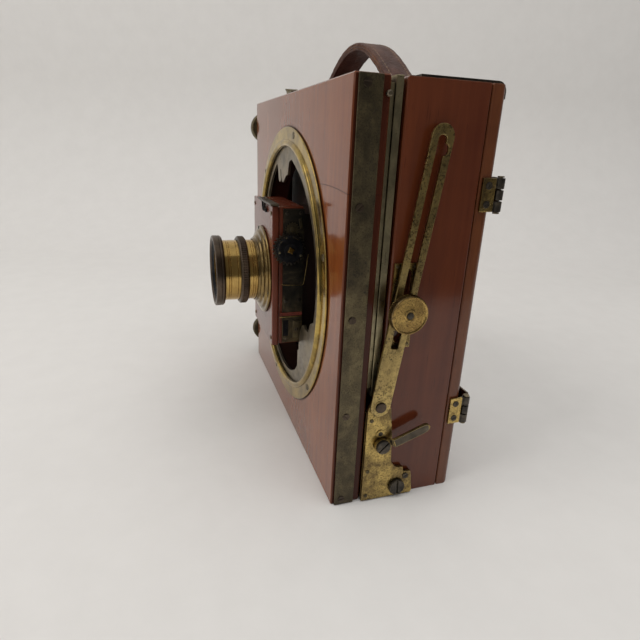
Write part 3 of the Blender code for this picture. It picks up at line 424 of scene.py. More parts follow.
def skin(rows, n, start=0):
    """The faces of a closed skin over rows of n points each, from a starting index on."""
    faces = [tuple(start + n * i + j for j in (k, (k + 1) % n, n + (k + 1) % n, n + k))
        for i in range(rows - 1) for k in range(n)]
    return faces + [tuple(range(start, start + n)), tuple(range(start + n * (rows - 1), start + n * rows))]


def on_axis(axis, along, u, v):
    return {"X": (along, u, v), "Y": (u, along, v), "Z": (u, v, along)}[axis]


def inset(loop, amount, hole):
    """The outline moved into the material by an even amount."""
    area = sum(a[0] * b[1] - b[0] * a[1] for a, b in zip(loop, loop[1:] + loop[:1]))
    flip = (1 if area > 0 else -1) * (-1 if hole else 1)
    made = []
    for i, p in enumerate(loop):
        a, c = loop[i - 1], loop[(i + 1) % len(loop)]
        u, v = (Vector((p[0] - a[0], p[1] - a[1])).normalized(),
            Vector((c[0] - p[0], c[1] - p[1])).normalized())
        n = Vector((-u.y - v.y, u.x + v.x)).normalized()
        move = n * (flip * amount / max(0.6, n.dot(Vector((-u.y, u.x)))))
        made.append((p[0] + move.x, p[1] + move.y))
    return made


def prism(name, axis, low, high, outline, look, body, holes=(), replaces="", bevel=0.25):
    """A plate with rounded arrises, cut to an outline seen along an axis, with holes."""
    loops = [(list(outline), False)] + [(list(h), True) for h in holes]
    bevel = min(bevel, (high - low) * 0.45)
    steps = [(bevel * (1 - sin(t)), bevel * (1 - cos(t))) for t in (0, 0.39, 0.785, 1.178, 1.571)]
    levels = [(off, low + depth) for off, depth in steps]
    levels += [(off, high - depth) for off, depth in reversed(steps)]
    points, count = [], sum(len(loop) for loop, _ in loops)
    for off, along in levels:
        points += [on_axis(axis, along, u, v) for loop, hole in loops for u, v in inset(loop, off, hole)]
    caps = tessellate_polygon([[Vector((u, v, 0)) for u, v in inset(loop, bevel, hole)]
        for loop, hole in loops])
    last = (len(levels) - 1) * count
    faces = [tuple(t) for t in caps] + [tuple(i + last for i in reversed(t)) for t in caps]
    for level in range(len(levels) - 1):
        start = level * count
        for loop, _ in loops:
            n = len(loop)
            faces += [(start + i, start + (i + 1) % n, start + (i + 1) % n + count, start + i + count)
                for i in range(n)]
            start += n
    finish(name, points, faces, look, body, 35, replaces)


def soften(rows, size, loop):
    """The profile with its corners rounded off."""
    made = []
    for i, row in enumerate(rows):
        p = Vector(row[:2])
        u, v = Vector(rows[i - 1][:2]) - p, Vector(rows[(i + 1) % len(rows)][:2]) - p
        end = not loop and i in (0, len(rows) - 1)
        if end or min(u.length, v.length) < 0.0001 or pi - u.angle(v) < 0.35:
            made.append(row)
            continue
        a = p + u.normalized() * min(size, 0.45 * u.length)
        b = p + v.normalized() * min(size, 0.45 * v.length)
        made += [(*(a * (1 - t) ** 2 + p * (2 * t * (1 - t)) + b * t * t), *row[2:])
            for t in (0, 0.3, 0.7, 1)]
    return made


def lathe(name, axis, centre, profile, look, body, steps=96, replaces="", teeth=0, sign=1, soft=0.22,
        start=0):
    """A turned piece from (radius, along) pairs, along measured from start. A third value in a pair is how
    deep the milled teeth cut there. A profile that doesn't begin on the axis closes on itself."""
    points, rings = [], []
    if teeth:
        steps = teeth * 4
    hollow = profile[0][0] > 0
    profile = soften(profile, soft, hollow) if soft else profile
    for row in profile:
        radius, along, depth = row[0], (start + row[1]) * sign, (row[2] if len(row) > 2 else 0)
        if radius <= 0:
            rings.append([len(points)])
            points.append(on_axis(axis, along, *centre))
            continue
        rings.append(list(range(len(points), len(points) + steps)))
        for k in range(steps):
            t = 2 * pi * k / steps
            r = radius - depth * (0, 0.15, 1, 0.85)[k % 4]
            points.append(on_axis(axis, along, centre[0] + r * cos(t), centre[1] + r * sin(t)))
    faces = []
    for a, b in list(zip(rings, rings[1:])) + ([(rings[-1], rings[0])] if hollow else []):
        for k in range(steps):
            n = (k + 1) % steps
            if len(a) == 1 and len(b) > 1:
                faces.append((a[0], b[k], b[n]))
            elif len(b) == 1 and len(a) > 1:
                faces.append((a[k], a[n], b[0]))
            elif len(a) > 1:
                faces.append((a[k], a[n], b[n], b[k]))
    finish(name, points, faces, look, body, replaces=replaces)


def polar(centre, radius, angle):
    """A point at an angle in degrees round a centre."""
    t = radians(angle)
    return centre[0] + radius * cos(t), centre[1] + radius * sin(t)


def arc(centre, radius, first, last, steps):
    return [polar(centre, radius, first + (last - first) * i / steps) for i in range(steps + 1)]


def circle(u, v, radius, steps=40):
    return arc((u, v), radius, 0, 360 * (steps - 1) / steps, steps - 1)


def rect(u0, v0, u1, v1):
    return [(u0, v0), (u1, v0), (u1, v1), (u0, v1)]


def box(name, low, high, look, body, bevel=0.2):
    prism(name, "X", low[0], high[0], rect(*low[1:], *high[1:]), look, body, bevel=bevel)


def stadium(a, b, radius, steps=16):
    """A bar with round ends, between two centres."""
    t = degrees(atan2(b[1] - a[1], b[0] - a[0]))
    return arc(b, radius, t - 90, t + 90, steps) + arc(a, radius, t + 90, t + 270, steps)


def along_strut(distance, across=0):
    """A point on the strut's centre line, as (depth, height), measured from its foot pivot."""
    s, c = sin(LEAN), cos(LEAN)
    return (FOOT[0] + distance * s + across * c, FOOT[1] + distance * c - across * s)


def on_lever(x, along, across):
    """A point of the right lever: its x, the distance along the arm from its pivot, and that across it."""
    s, c = sin(LEVER_TILT), cos(LEVER_TILT)
    return (x, LEVER[0] + along * c - across * s, LEVER[1] + along * s + across * c)


def span(sign, low, high):
    return (low, high) if sign > 0 else (-high, -low)


def tube(name, path, radius, look, body):
    """A bent wire through the given points, with closed ends."""
    points, side, steps = [], None, 10
    path = [Vector(p) for p in path]
    for i, p in enumerate(path):
        run = (path[min(i + 1, len(path) - 1)] - path[max(i - 1, 0)]).normalized()
        if side is None:
            side = run.orthogonal().normalized()
        side = (side - run * side.dot(run)).normalized()
        up = run.cross(side)
        for k in range(steps):
            t = 2 * pi * k / steps
            points.append(p + side * radius * cos(t) + up * radius * sin(t))
    finish(name, points, skin(len(path), steps), look, body)


def screw(name, place, out, radius, height, body, turn=0, look="steel", slot=0.16, dome=0.25, replaces=""):
    """A slotted head: a base disc with two crowned halves that leave a real slot between them."""
    points, faces = [], []

    def layer(outline, levels):
        n = len(outline)
        faces.extend(skin(len(levels), n, len(points)))
        cx, cy = sum(p[0] for p in outline) / n, sum(p[1] for p in outline) / n
        for share, z in levels:
            points.extend((cx + (x - cx) * share, cy + (y - cy) * share, z) for x, y in outline)

    layer(circle(0, 0, radius * 0.985, 32), [(1, -0.2), (1, height * 0.4)])
    a0 = degrees(asin(slot))
    for flip in (0, 180):
        ring = arc((0, 0), radius, flip + a0, flip + 180 - a0, 18)
        layer(ring, [(1, height * 0.38), (1, height * (1 - dome)), (0.93, height * (1 - dome * 0.35)),
            (0.72, height)])
    basis = Vector(out).to_track_quat("Z", "Y").to_matrix().to_4x4()
    place = Matrix.Translation(Vector(place)) @ basis @ Matrix.Rotation(radians(turn), 4, "Z")
    finish(name, [place @ Vector(p) for p in points], faces, look, body, 40, replaces)


def screws(name, places, out, radius, height, body, turn=0, step=0, look="steel", slot=0.16, dome=0.25):
    """Numbered screws of one kind, each turned a step further than the one before."""
    for k, place in enumerate(places):
        screw(f"{name}_{k}", place, out, radius, height, body, turn + step * k, look, slot, dome)


# ---- nodes that keep their own shape

for look, names in {
    "board": "baseboard",
    "case": "case",
    "back": "back_frame",
    "screen": "screen_frame",
    "shutter": "shutter_front_board shutter_case",
    "dark": "front_standard lens_panel",
    "mechanism": "shutter_side_plate",
    "steel": "top_spring_strip back_catch",
    "bellows": "bellows",
    "ground": "focusing_screen",
    "ring": "turntable_ring",
    "strip": "edge_strip_right edge_strip_left bed_bolt",
    "rail": "focusing_frame bed_runner_right bed_runner_left",
    "dark_brass": "handle_plate_right handle_plate_left hinge_pin_upper hinge_pin_lower",
    "plate": "clamp_stud_right clamp_stud_left slot_plate_right slot_plate_left",
}.items():
    for name in names.split():
        NODES[name].data.materials.clear()
        NODES[name].data.materials.append(M[look])


# ---- lens and shutter

BOARD_FACE = -62.3
lathe("flange", "Y", LENS, [(19.9, 0), (28.4, 0), (28.4, -0.7), (27.9, -1.3), (26.1, -1.6), (25.7, -1.9),
    (25.5, -2.4), (24.7, -3), (23.4, -3.15), (22.6, -3.4), (22.2, -4.2), (21.5, -4.8), (20.7, -5),
    (20.5, -5.4), (20.4, -6.2), (19.9, -6.4), (19.5, -6.4), (19.5, -5), (19.9, -4.8)], "flange", FRONT, 160,
    "lens_flange", soft=0.2, start=BOARD_FACE)
grooves = [(radius, y + off) for y in (-69.9, -71.3, -80.6, -85, -86.2)
    for radius, off in ((19.2, 0.25), (18.95, 0.12), (18.95, -0.12), (19.2, -0.25))]
lathe("barrel", "Y", LENS, [(19.2, -38)] + grooves + [(19.2, -91.4), (16.6, -91.4), (16.6, -83),
    (14.4, -83), (14.4, -80), (16.6, -80), (16.6, -50), (14.4, -50), (14.4, -47), (16.6, -47), (16.6, -38)],
    "gold", FRONT, 160, "lens_barrel", soft=0.1)
lathe("hood", "Y", LENS, [(19.5, -88.6), (21.4, -88.6), (22.3, -89.5), (22.3, -90.4), (21.9, -90.7),
    (22.3, -91), (22.3, -93.7), (21.8, -94.2), (20.4, -94.2), (19.8, -93.5), (19.6, -93.5), (18.9, -92.9),
    (18.7, -92.9), (17.6, -92), (17.2, -91.7), (19.5, -91.7)], "bronze", FRONT, 160, "lens_hood")
lathe("hood_lining", "Y", LENS, [(17.3, -91.6), (17.65, -91.9), (18.75, -92.8), (18.95, -92.8),
    (19.55, -93.3), (19.6, -93.45), (18.9, -92.98), (18.65, -92.98), (17.5, -92.05), (16.9, -91.75),
    (16.9, -91.5)], "black", FRONT, 120, soft=0)
ribs = [(radius, y + off, 0.32) for y in (-75.2, -76.4, -77.6)
    for radius, off in ((21.5, 0.5), (21.6, 0.2), (21.6, -0.2), (21.5, -0.5))]
lathe("iris_grip", "Y", LENS, [(19.5, -73.8), (20.4, -73.8), (20.9, -74.3), (21.1, -74.3)] + ribs
    + [(21.1, -78.5), (20.9, -78.5), (20.4, -79), (19.5, -79)], "bronze", "iris", replaces="iris_ring",
    teeth=90, soft=0)
for name, node, y, way, bulge in (("glass_front", "front_glass", -83.3, -1, 3.4),
                                  ("glass_rear", "rear_glass", -46.7, 1, 3.2)):
    dome = [(16.3 * cos(pi / 2 * k / 20), way * (1.2 + bulge * sin(pi / 2 * k / 20))) for k in range(21)]
    back = [(16.3 * sin(pi / 2 * k / 12), way * 0.5 * cos(pi / 2 * k / 12)) for k in range(13)]
    back[0], dome[-1] = (0, back[0][1]), (0, dome[-1][1])
    lathe(name, "Y", LENS, back + dome, "glass", FRONT, 128, node, soft=0, start=y)
for tag, y, way in (("front", -83, -1), ("rear", -47, 1)):
    lathe(f"retaining_ring_{tag}", "Y", LENS, [(14.6, 0), (14.6, way * 2.2), (16.5, way * 2.9), (16.5, 0)],
        "black", FRONT, 120, start=y)

# Iris leaves, seen through the front glass: each is a curved blade, as (radius, angle) pairs.
LEAVES, SWEEP = 10, 1.35
for k in range(LEAVES):
    a = 2 * pi * k / LEAVES
    leaf = [(6.6 + 7.6 * t, a + SWEEP * t) for t in [j / 12 for j in range(13)]]
    leaf += [(14.2 - 7.6 * t ** 1.2, a + SWEEP + 0.55 * (1 - t) - 0.9 * t)
        for t in [j / 12 for j in range(1, 12)]]
    layer_y = -76 + 0.12 * (k % 3)
    prism(f"iris_leaf_{k}", "Y", layer_y, layer_y + 0.15, [polar(LENS, r, degrees(t)) for r, t in leaf],
        "steel", FRONT, bevel=0.02)

# Light-tight slide behind the lens panel. It covers the standard's opening at every height of the rise.
prism("panel_slide", "Y", -22.8, -21, rect(-42, 59, 44, 151), "dark", FRONT,
    [rect(-23.6, 70.9, 26.6, 148.1)], bevel=0.3)

# Winding knob: a toothed wheel, a milled black disc with a square brass arbor, and two pale pins.
SHUTTER_SIDE = 30.9
lathe("winder_knob", "X", WINDER, [(0, 0), (3, 0), (3, 1.2), (7.2, 1.2), (8.3, 1.5, 0.9), (8.4, 1.9, 0.9),
    (8.4, 3.9, 0.9), (8.2, 4.3, 0.9), (7.4, 4.9), (6.9, 5), (3.9, 5), (3.6, 5.2), (0, 5.2)], "black",
    "winder", replaces="winding_knob", teeth=34, soft=0.1, start=SHUTTER_SIDE)
lathe("winder_wheel", "X", WINDER, [(0, 0.1), (10.2, 0.1, 1.5), (10.2, 1.1, 1.5), (3, 1.1), (0, 1.1)],
    "steel", "winder", teeth=26, soft=0.08, start=SHUTTER_SIDE)
square = [polar(WINDER, 2.3, degrees(t)) for t in (0.3, 1.87, 3.44, 5.01)]
prism("winder_arbor", "X", SHUTTER_SIDE + 5, SHUTTER_SIDE + 6.2, square, "gold", "winder")
for k, centre in enumerate(((-58.6, 126.9), (-45.7, 124.9))):
    lathe(f"winder_pin_{k}", "X", centre, [(0, 4.6), (0.75, 4.6), (0.75, 5.15), (0, 5.25)], "rail",
        "winder", 20, soft=0.1, start=SHUTTER_SIDE)

# Ratchet wheel above the knob, its click, the trip wire, and the parts of the blind that show at the side.
lathe("ratchet_wheel", "X", (-50, 139.6), [(0, 30.7), (4.4, 30.7, 0.9), (4.4, 31.5, 0.9), (1.6, 31.5),
    (1.6, 32), (0, 32)], "strip", FRONT, teeth=16, soft=0.08)
prism("ratchet_click", "X", 30.7, 31.4, [(-44.6, 146.6), (-43.6, 140.4), (-45.3, 139.8), (-46.3, 145.8)],
    "strip", FRONT, bevel=0.15)
tube("trip_wire", ((31.3, -56.2, 106.4), (31.5, -55.4, 106), (31.6, -49, 105.6), (31.6, -43.6, 105.3),
    (31.6, -42.6, 106), (31.6, -42.1, 108), (31.5, -41, 116), (31.3, -39.9, 124.4)), 0.2, "strut", FRONT)
for name, low, high, look, bevel in (
        ("tension_band", (30.65, -57.2, 85.6), (31.2, -42.8, 87.7), "red", 0.15),
        ("band_edge", (30.65, -57.2, 84.5), (31.05, -42.8, 85.1), "strut", 0.12),
        ("blind_slot", (30.55, -55, 72), (30.95, -51.6, 82.6), "black", 0.15),
        ("blind_roller_end", (30.55, -48.6, 70.5), (31.1, -44, 82), "strip", 0.2)):
    box(name, low, high, look, FRONT, bevel)
places = ((-53.2, 149), (-44.8, 149.2), (-53.4, 70.4), (-46.3, 76.2), (-53.6, 95.4), (-44.6, 95.6))
screws("shutter_screw", [(30.7, y, z) for y, z in places], (1, 0, 0), 1.15, 0.6, FRONT, step=35)
for k, x in enumerate((7, 13.5)):
    tube(f"spring_hook_{k}", ((x, -62.9, 154.1), (x, -63.1, 152.4), (x - 0.2, -62.9, 149.6),
        (x + 0.5, -62.7, 148.3), (x + 1.6, -62.6, 148.1), (x + 2.5, -62.7, 148.9), (x + 2.7, -62.8, 150.4)),
        0.6, "black", FRONT)
    screw(f"spring_screw_{k}", (x - 5, -61.1, 154.5), (0, 0, 1), 1.3, 0.55, FRONT, 40 + 70 * k)
screws("board_screw", [(x, -61.95, z) for z in (148.6, 70.4) for x in (-24.4, 27.3)], (0, -1, 0), 1.25, 0.5,
    FRONT, 25, 50, "dark_brass")
ring = [polar(LENS, 27, angle) for angle in (100, 220, 340)]
screws("lens_flange_screw", [(x, -63.75, z) for x, z in ring], (0, -1, 0), 0.95, 0.35, FRONT, step=60)


# ---- turntable and baseboard

bead = [(79.2 + 2 * cos(t), -1 - 1.7 * sin(t)) for t in [pi * k / 16 for k in range(17)]]
lathe("flange_plate", "Y", TURN, [(77.2, 0), (88.6, 0), (88.6, -0.6), (88.2, -1), (81.5, -1)] + bead,
    "bead", "bed", 256, "turntable_flange", soft=0.15, start=-45.4)
ring = [polar(TURN, 85.2, angle) for angle in (78.3, 137, 196, 255, 315.8, 17)]
screws("flange_screw", [(x, -46.35, z) for x, z in ring], (0, -1, 0), 2, 0.35, "bed", 10, 70, "dark_brass",
    0.13, 0.5)
for sign, side in SIDES:
    places = [(sign * 107.45, -39.7, z) for z in (212, 162, 109, 56, 4)]
    screws(f"strip_screw_{side}", places, (sign, 0, 0), 1.9, 0.45, "bed", step=47, look="bronze")
    places = [(sign * 103, -26.5, z) for z in (74, 108, 142, 176, 208)]
    screws(f"runner_screw_{side}", places, (0, 1, 0), 1.2, 0.25, "bed", step=31)
lathe("catch_button", "X", (-29.9, 208.4), [(0, 0), (1, 0), (1, 0.8), (1.35, 1.1), (1.45, 1.5), (1.4, 2.1),
    (1, 2.8), (0, 3)], "ring", "bed", 40, "catch_stud", soft=0.1, start=106.3)
screw("bolt_screw", (-8, -39.4, 217.3), (0, 0, 1), 1.6, 0.7, "bolt", 30)

# Racks with their teeth, and the milled pinions that drive them.
RACK_TEETH, PITCH = 86, 2.22
tooth = ((-28.5, 0.12), (-29.8, 0.34), (-29.8, 0.62), (-28.5, 0.84))
rack = [(-26.4, 13)] + [(y, 13 + PITCH * (k + share)) for k in range(RACK_TEETH) for y, share in tooth]
rack += [(-28.5, 206), (-26.4, 206)]
knob = [(0, 11.2), (1.9, 11.2), (2.3, 11.9), (3, 12), (3.4, 11), (8.6, 10.7), (8.9, 10.4), (9.3, 10.7),
    (10.3, 10.6), (11.1, 9.9), (11.5, 9.3, 0.42), (11.5, 7.6, 0.42), (11, 7.3), (11, 6.9),
    (11.5, 6.6, 0.42), (11.5, 4.7, 0.42), (11, 4.1), (10.5, 3.6), (4.2, 3), (4.2, 0), (2.4, 0), (2.4, -0.6),
    (0, -0.6)]
for sign, side in SIDES:
    prism(f"rack_{side}", "X", *span(sign, 93, 99), rack, "rail", "focus_carriage",
        replaces=f"focus_rack_{side}", bevel=0.1)
for tag, height in (("rear", 22), ("front", 198.5)):
    at, body = (-36.9, height), f"{tag}_pinion"
    lathe(f"focus_knob_{tag}", "X", at, knob, "strip", body, replaces=f"pinion_{tag}", teeth=64, sign=-1,
        soft=0.12, start=107.8)
    lathe(f"focus_shaft_{tag}", "X", at, [(0, -107.8), (2.5, -107.8), (2.5, 98.4), (0, 98.4)], "strut",
        body, 48)
    for sign, side in SIDES:
        lathe(f"focus_gear_{tag}_{side}", "X", at, [(2.4, 93.4), (6.8, 93.4, 1.25), (6.8, 98.6, 1.25),
            (2.4, 98.6)], "rail", body, teeth=18, sign=sign, soft=0.1)


# ---- side fittings

plate = [(-27.9, 0.6), (1.6, 0.6), (2.8, 0.9), (3.4, 1.8), (1.8, 14.4), (1.3, 15.5), (0.4, 15.9),
    (-3.2, 16), (-3.9, 19.2)]
plate += arc((-4.1, 26.5), 7.6, 248, 180, 16)[1:] + [(-12.4, 40), (-14.6, 58)]
plate += arc((-21.3, 58.6), 6.2, 5.7, 165, 20) + [(-27.9, 58)]

# The lever's arm as (along, half width, inner face, outer face), and the dark face laid on it.
arm = ((2.6, 2.5, 0.2, 1.8), (4.4, 2.6, 0.3, 1.9), (5, 2.6, 0.9, 2.6), (5.6, 2.6, 2, 3.9),
    (6.3, 2.6, 2.6, 4.5), (22, 2.7, 3, 4.9), (25.2, 2.6, 3.1, 5), (26.6, 2.2, 3.1, 5), (27.3, 1.5, 3.1, 5),
    (27.6, 0.6, 3.1, 5))
arm_ring = ((-1, 0.25), (-0.86, 0), (0.86, 0), (1, 0.25), (1, 0.62), (0.62, 1), (-0.62, 1), (-1, 0.62))
face = ((4.45, 1.7, 1.97), (4.7, 2.2, 2.27), (5.05, 2.25, 2.73), (5.65, 2.25, 3.96), (6.4, 2.3, 4.52),
    (22, 2.4, 4.93), (25, 2.25, 5.02), (26.3, 1.7, 5.02), (26.9, 1, 5.02))
LEVER_BASE = PLATE_OUT + 0.4
arm_points = [on_lever(LEVER_BASE + inner + (outer - inner) * share, along, a * half)
    for along, half, inner, outer in arm for a, share in arm_ring]
face_points = [on_lever(LEVER_BASE + outer + rise, along, across) for along, half, outer in face
    for across, rise in ((-half, -0.3), (-half, 0.02), (half, 0.02), (half, -0.3))]

# The strut's slot, as (distance from its foot, across): a long channel, a round hole, a round end.
half = 2.05
slot = [(34, half), (125.4, half), (125.8, 3.2), (126.6, 3.8), (127.6, 4), (128.6, 4), (129.6, 3.8),
    (130.4, 3.2), (130.8, half)]
slot += [(132.4 + 1.6 * sin(t), half * cos(t)) for t in [pi * k / 12 for k in range(13)]]
slot += [(34, -half), (33.2, 0.1 - half), (32.8, 0.5 - half), (32.8, half - 0.5), (33.2, half - 0.1)]
slot = [along_strut(*place) for place in slot]

for sign, side in SIDES:
    out, lever = (sign, 0, 0), f"lever_{side}"
    prism(f"side_plate_{side}", "X", *span(sign, PLATE_IN, PLATE_OUT), plate, "plate", "bed",
        [circle(*BED_PIVOT, 2.6), circle(*LEVER, 1.8), circle(*FOOT, 1.8)], f"lock_plate_{side}", 0.35)
    low, high = span(sign, 100.4, PLATE_IN + 0.6)
    box(f"side_plate_flange_{side}", (low, -28, 2), (high, -26.4, 56), "plate", "bed")
    # Screw in the plate's heel, and a small screw on its washer above the lever's hub.
    screw(f"plate_screw_{side}", (sign * PLATE_OUT, -1.8, 13), out, 1.75, 0.6, "bed", 20)
    lathe(f"plate_washer_{side}", "X", (-19.8, 43.4), [(1.2, 108.4), (2.4, 108.4), (2.4, 109), (1.2, 109)],
        "plate", "bed", 40, sign=sign, soft=0.2)
    screw(f"plate_small_screw_{side}", (sign * 108.5, -19.8, 43.4), out, 1.5, 0.5, "bed", 70)
    screws(f"plate_edge_screw_{side}", [(sign * PLATE_OUT, -25.4, z) for z in (4, 20, 52)], out, 1.1, 0.4,
        "bed", step=65, look="strip")

    # The bed's pivot screw.
    screw(f"bed_pivot_{side}", (sign * (PLATE_OUT + 0.5), *BED_PIVOT), out, 4.7, 1.7, CASE, 90 + 3 * sign,
        "steel", 0.1, 0.3, f"pivot_screw_{side}")
    lathe(f"bed_pivot_collar_{side}", "X", BED_PIVOT, [(0, 99), (2.2, 99), (2.2, 108.5), (4.3, 108.55),
        (4.3, 109), (0, 109)], "dark_brass", CASE, 48, f"pivot_screw_{side}", sign=sign)

    # Lever: a hub, a stepped bar with its dark face, and the screw it turns on.
    lathe(f"lever_hub_{side}", "X", LEVER, [(1.8, 108.8), (4.3, 108.8), (4.3, 110.9), (1.8, 110.9)],
        "plate", lever, 64, f"lock_lever_{side}", sign=sign)
    finish(f"lever_bar_{side}", [(sign * x, y, z) for x, y, z in arm_points], skin(len(arm), len(arm_ring)),
        "plate", lever, 30)
    finish(f"lever_face_{side}", [(sign * x, y, z) for x, y, z in face_points], skin(len(face), 4), "lever",
        lever, 30)
    screw(f"lever_fixing_{side}", (sign * (PLATE_OUT + 2.6), *LEVER), out, 4, 1.5, "bed", 45, slot=0.1)
    lathe(f"lever_post_{side}", "X", LEVER, [(0, 106.3), (1.5, 106.3), (1.5, 111.4), (0, 111.4)], "steel",
        "bed", 32, f"lever_screw_{side}", sign=sign)

    # Strut with its long keyhole slot, its foot's rivet and washer.
    foot = along_strut(0)
    prism(f"brace_{side}", "X", *span(sign, STRUT_IN, STRUT_OUT),
        stadium(foot, along_strut(133.2), 5.6, 28), "strut", f"strut_arm_{side}",
        [slot, circle(*foot, 1.8)], f"strut_{side}", 0.32)
    lathe(f"brace_rivet_{side}", "X", foot, [(0, 106.3), (1.5, 106.3), (1.5, 110.7), (2.9, 110.7),
        (2.95, 111.2), (2.6, 111.5), (1.2, 111.6), (0, 111.6)], "bronze", "bed", 48, f"strut_rivet_{side}",
        sign=sign, soft=0.1)
    lathe(f"brace_washer_{side}", "X", foot, [(1.9, 110.35), (3.9, 110.35), (3.9, 110.65), (1.9, 110.65)],
        "strut", f"strut_arm_{side}", 64, sign=sign, soft=0.12)

    # Clamp knob: a collar, a milled rim, a flat face sunk inside it, a raised centre ring and a steel cap.
    stud = along_strut(52.9)
    lathe(f"clamp_head_{side}", "X", stud, [(1.7, 1.3), (4.6, 1.3), (4.6, 2.6), (8.9, 2.6), (9.5, 3),
        (9.75, 3.5, 0.3), (9.75, 6.2, 0.3), (9.6, 6.7), (9.3, 7.3), (8.9, 7.4), (8.6, 7.1), (8.4, 6.9),
        (5.6, 6.9), (3.2, 6.9), (3, 7.25), (2.8, 7.35), (2.1, 7.35), (1.9, 7.2), (1.7, 7.2)], "knob",
        f"knob_{side}", replaces=f"clamp_knob_{side}", teeth=60, sign=sign, soft=0.12, start=110.7)
    lathe(f"clamp_cap_{side}", "X", stud, [(0, 5.1), (1.72, 5.1), (1.72, 7.5), (1.3, 7.85), (0, 7.9)],
        "steel", f"knob_{side}", 40, sign=sign, soft=0.1, start=110.7)

    # Pins that hold the slot plate.
    for k, centre in enumerate(((-18.4, 94.2), (-9, 94.2), (-18.4, 134.4), (-9, 134.4))):
        lathe(f"slot_plate_pin_{side}_{k}", "X", centre, [(0, 107.1), (0.75, 107.1), (0.75, 107.45),
            (0.3, 107.6), (0, 107.62)], "strip", CASE, 20, sign=sign, soft=0.08)


# ---- hinges and back

KNUCKLE, PIN_HOLE = circle(*AXLE, 2.15, 48), circle(*AXLE, 1.15, 32)
HINGE_HALF, THIRD, PLAY = 7.9, 15.8 / 3, 0.3
wrap = [(106.3, 29), (107, 29), (107.3, 31), (105.4, 31.2)]
web = [(102.7, 35.05), (104.9, 33.7), (106.5, 34.3), (106.5, 34.5), (104, 36.15), (102.7, 36.15)]
for z0, tag in ((50.2, "lower"), (167.8, "upper")):
    low, high = z0 - HINGE_HALF, z0 + HINGE_HALF
    prism(f"hinge_plate_{tag}", "Z", low, high, rect(106.3, 22.2, 107.5, 29.3), "plate", CASE,
        replaces=f"hinge_leaf_fixed_{tag}")
    for k, (a, b) in enumerate(((low, low + THIRD - PLAY), (high - THIRD + PLAY, high))):
        prism(f"hinge_wrap_{tag}_{k}", "Z", a, b, wrap, "steel", CASE, bevel=0.1)
        prism(f"hinge_knuckle_{tag}_{k}", "Z", a, b, KNUCKLE, "steel", CASE, [PIN_HOLE])
    prism(f"hinge_flap_{tag}", "Z", low, high, rect(84, 35, 102.9, 36.2), "bronze", "screen",
        replaces=f"hinge_leaf_moving_{tag}")
    a, b = low + THIRD + PLAY, high - THIRD - PLAY
    prism(f"hinge_web_{tag}", "Z", a, b, web, "steel", "screen", bevel=0.1)
    prism(f"hinge_eye_{tag}", "Z", a, b, KNUCKLE, "steel", "screen", [PIN_HOLE])
    for k, z in enumerate((z0 - 4.4, z0 + 4.4)):
        screw(f"hinge_side_screw_{tag}_{k}", (107.4, 25.6, z), (1, 0, 0), 1.8, 0.45, CASE, 20 + 55 * k)
        screw(f"hinge_rear_screw_{tag}_{k}", (96.5, 35.95, z), (0, 1, 0), 1.75, 0.25, "screen", 35 + 80 * k)
        screw(f"hinge_far_screw_{tag}_{k}", (88, 35.95, z), (0, 1, 0), 1.75, 0.25, "screen", 10 - 50 * k)
screws("catch_screw", ((97.5, -9.5, 217.4), (97.5, -3, 217.4)), (0, 0, 1), 1.9, 0.6, "rear_catch", 15, 60)


# ---- carrying handle

# The arch's middle, half length and rise, the level it stands on, and the strap's thickness and place.
MIDDLE, HALF, RISE, GROUND, THICK, CENTRE_Y = 2, 61, 27, 217.7, 4.4, 0.3
ARCH_STEPS = 84


def lift(g):
    return RISE * (1 - g * g) ** 1.25


# The strap's top and under points along its length, flat at both ends.
pairs = [((x, 2.6 + 0.2 * k / 4), (x, 0)) for k, x in enumerate((-69, -67, -65, -63))]
for i in range(1, ARCH_STEPS):
    g = -1 + 2 * i / ARCH_STEPS
    x, z = HALF * g, min(lift(g), 26.85)
    t = Vector((HALF * 0.02, lift(min(1, g + 0.01)) - lift(max(-1, g - 0.01)))).normalized()
    pairs.append(((x, max(z, 2.8)), (x + t.y * THICK, max(z - t.x * THICK, 0))))
pairs += [((x, 2.8 - 0.2 * k / 4), (x, 0)) for k, x in enumerate((63, 65, 67, 69))]

# Half the strap's section, as (across, share of the thickness): three layers and a stitching groove.
section = [(-7.3, 0), (-3.5, 0), (0, 0), (3.5, 0), (7.3, 0), (7.75, 0.05), (8, 0.14), (8, 0.29),
    (7.8, 0.32), (7.62, 0.345), (7.8, 0.37), (8, 0.4), (8, 0.61), (7.8, 0.64), (7.62, 0.665), (7.8, 0.69),
    (8, 0.72), (7.95, 0.86), (7.6, 0.95), (6.9, 0.99), (5.6, 1), (5.3, 0.975), (5, 1), (2.5, 1), (0, 1)]
section += [(-u, h) for u, h in reversed(section[5:-1])]
rng = random.Random(5)
points = []
for i, (top, under) in enumerate(pairs):
    wobble = 0.12 * sin(i * 0.55) + rng.uniform(-0.05, 0.05)
    width = 1 - 0.028 * abs(wobble) / 0.12
    points += [(MIDDLE + under[0] + (top[0] - under[0]) * h, CENTRE_Y + u * width,
        GROUND + under[1] + (top[1] - under[1]) * h) for u, h in section]
finish("strap", points, skin(len(pairs), len(section)), "leather", CASE, 38, "handle_strap")

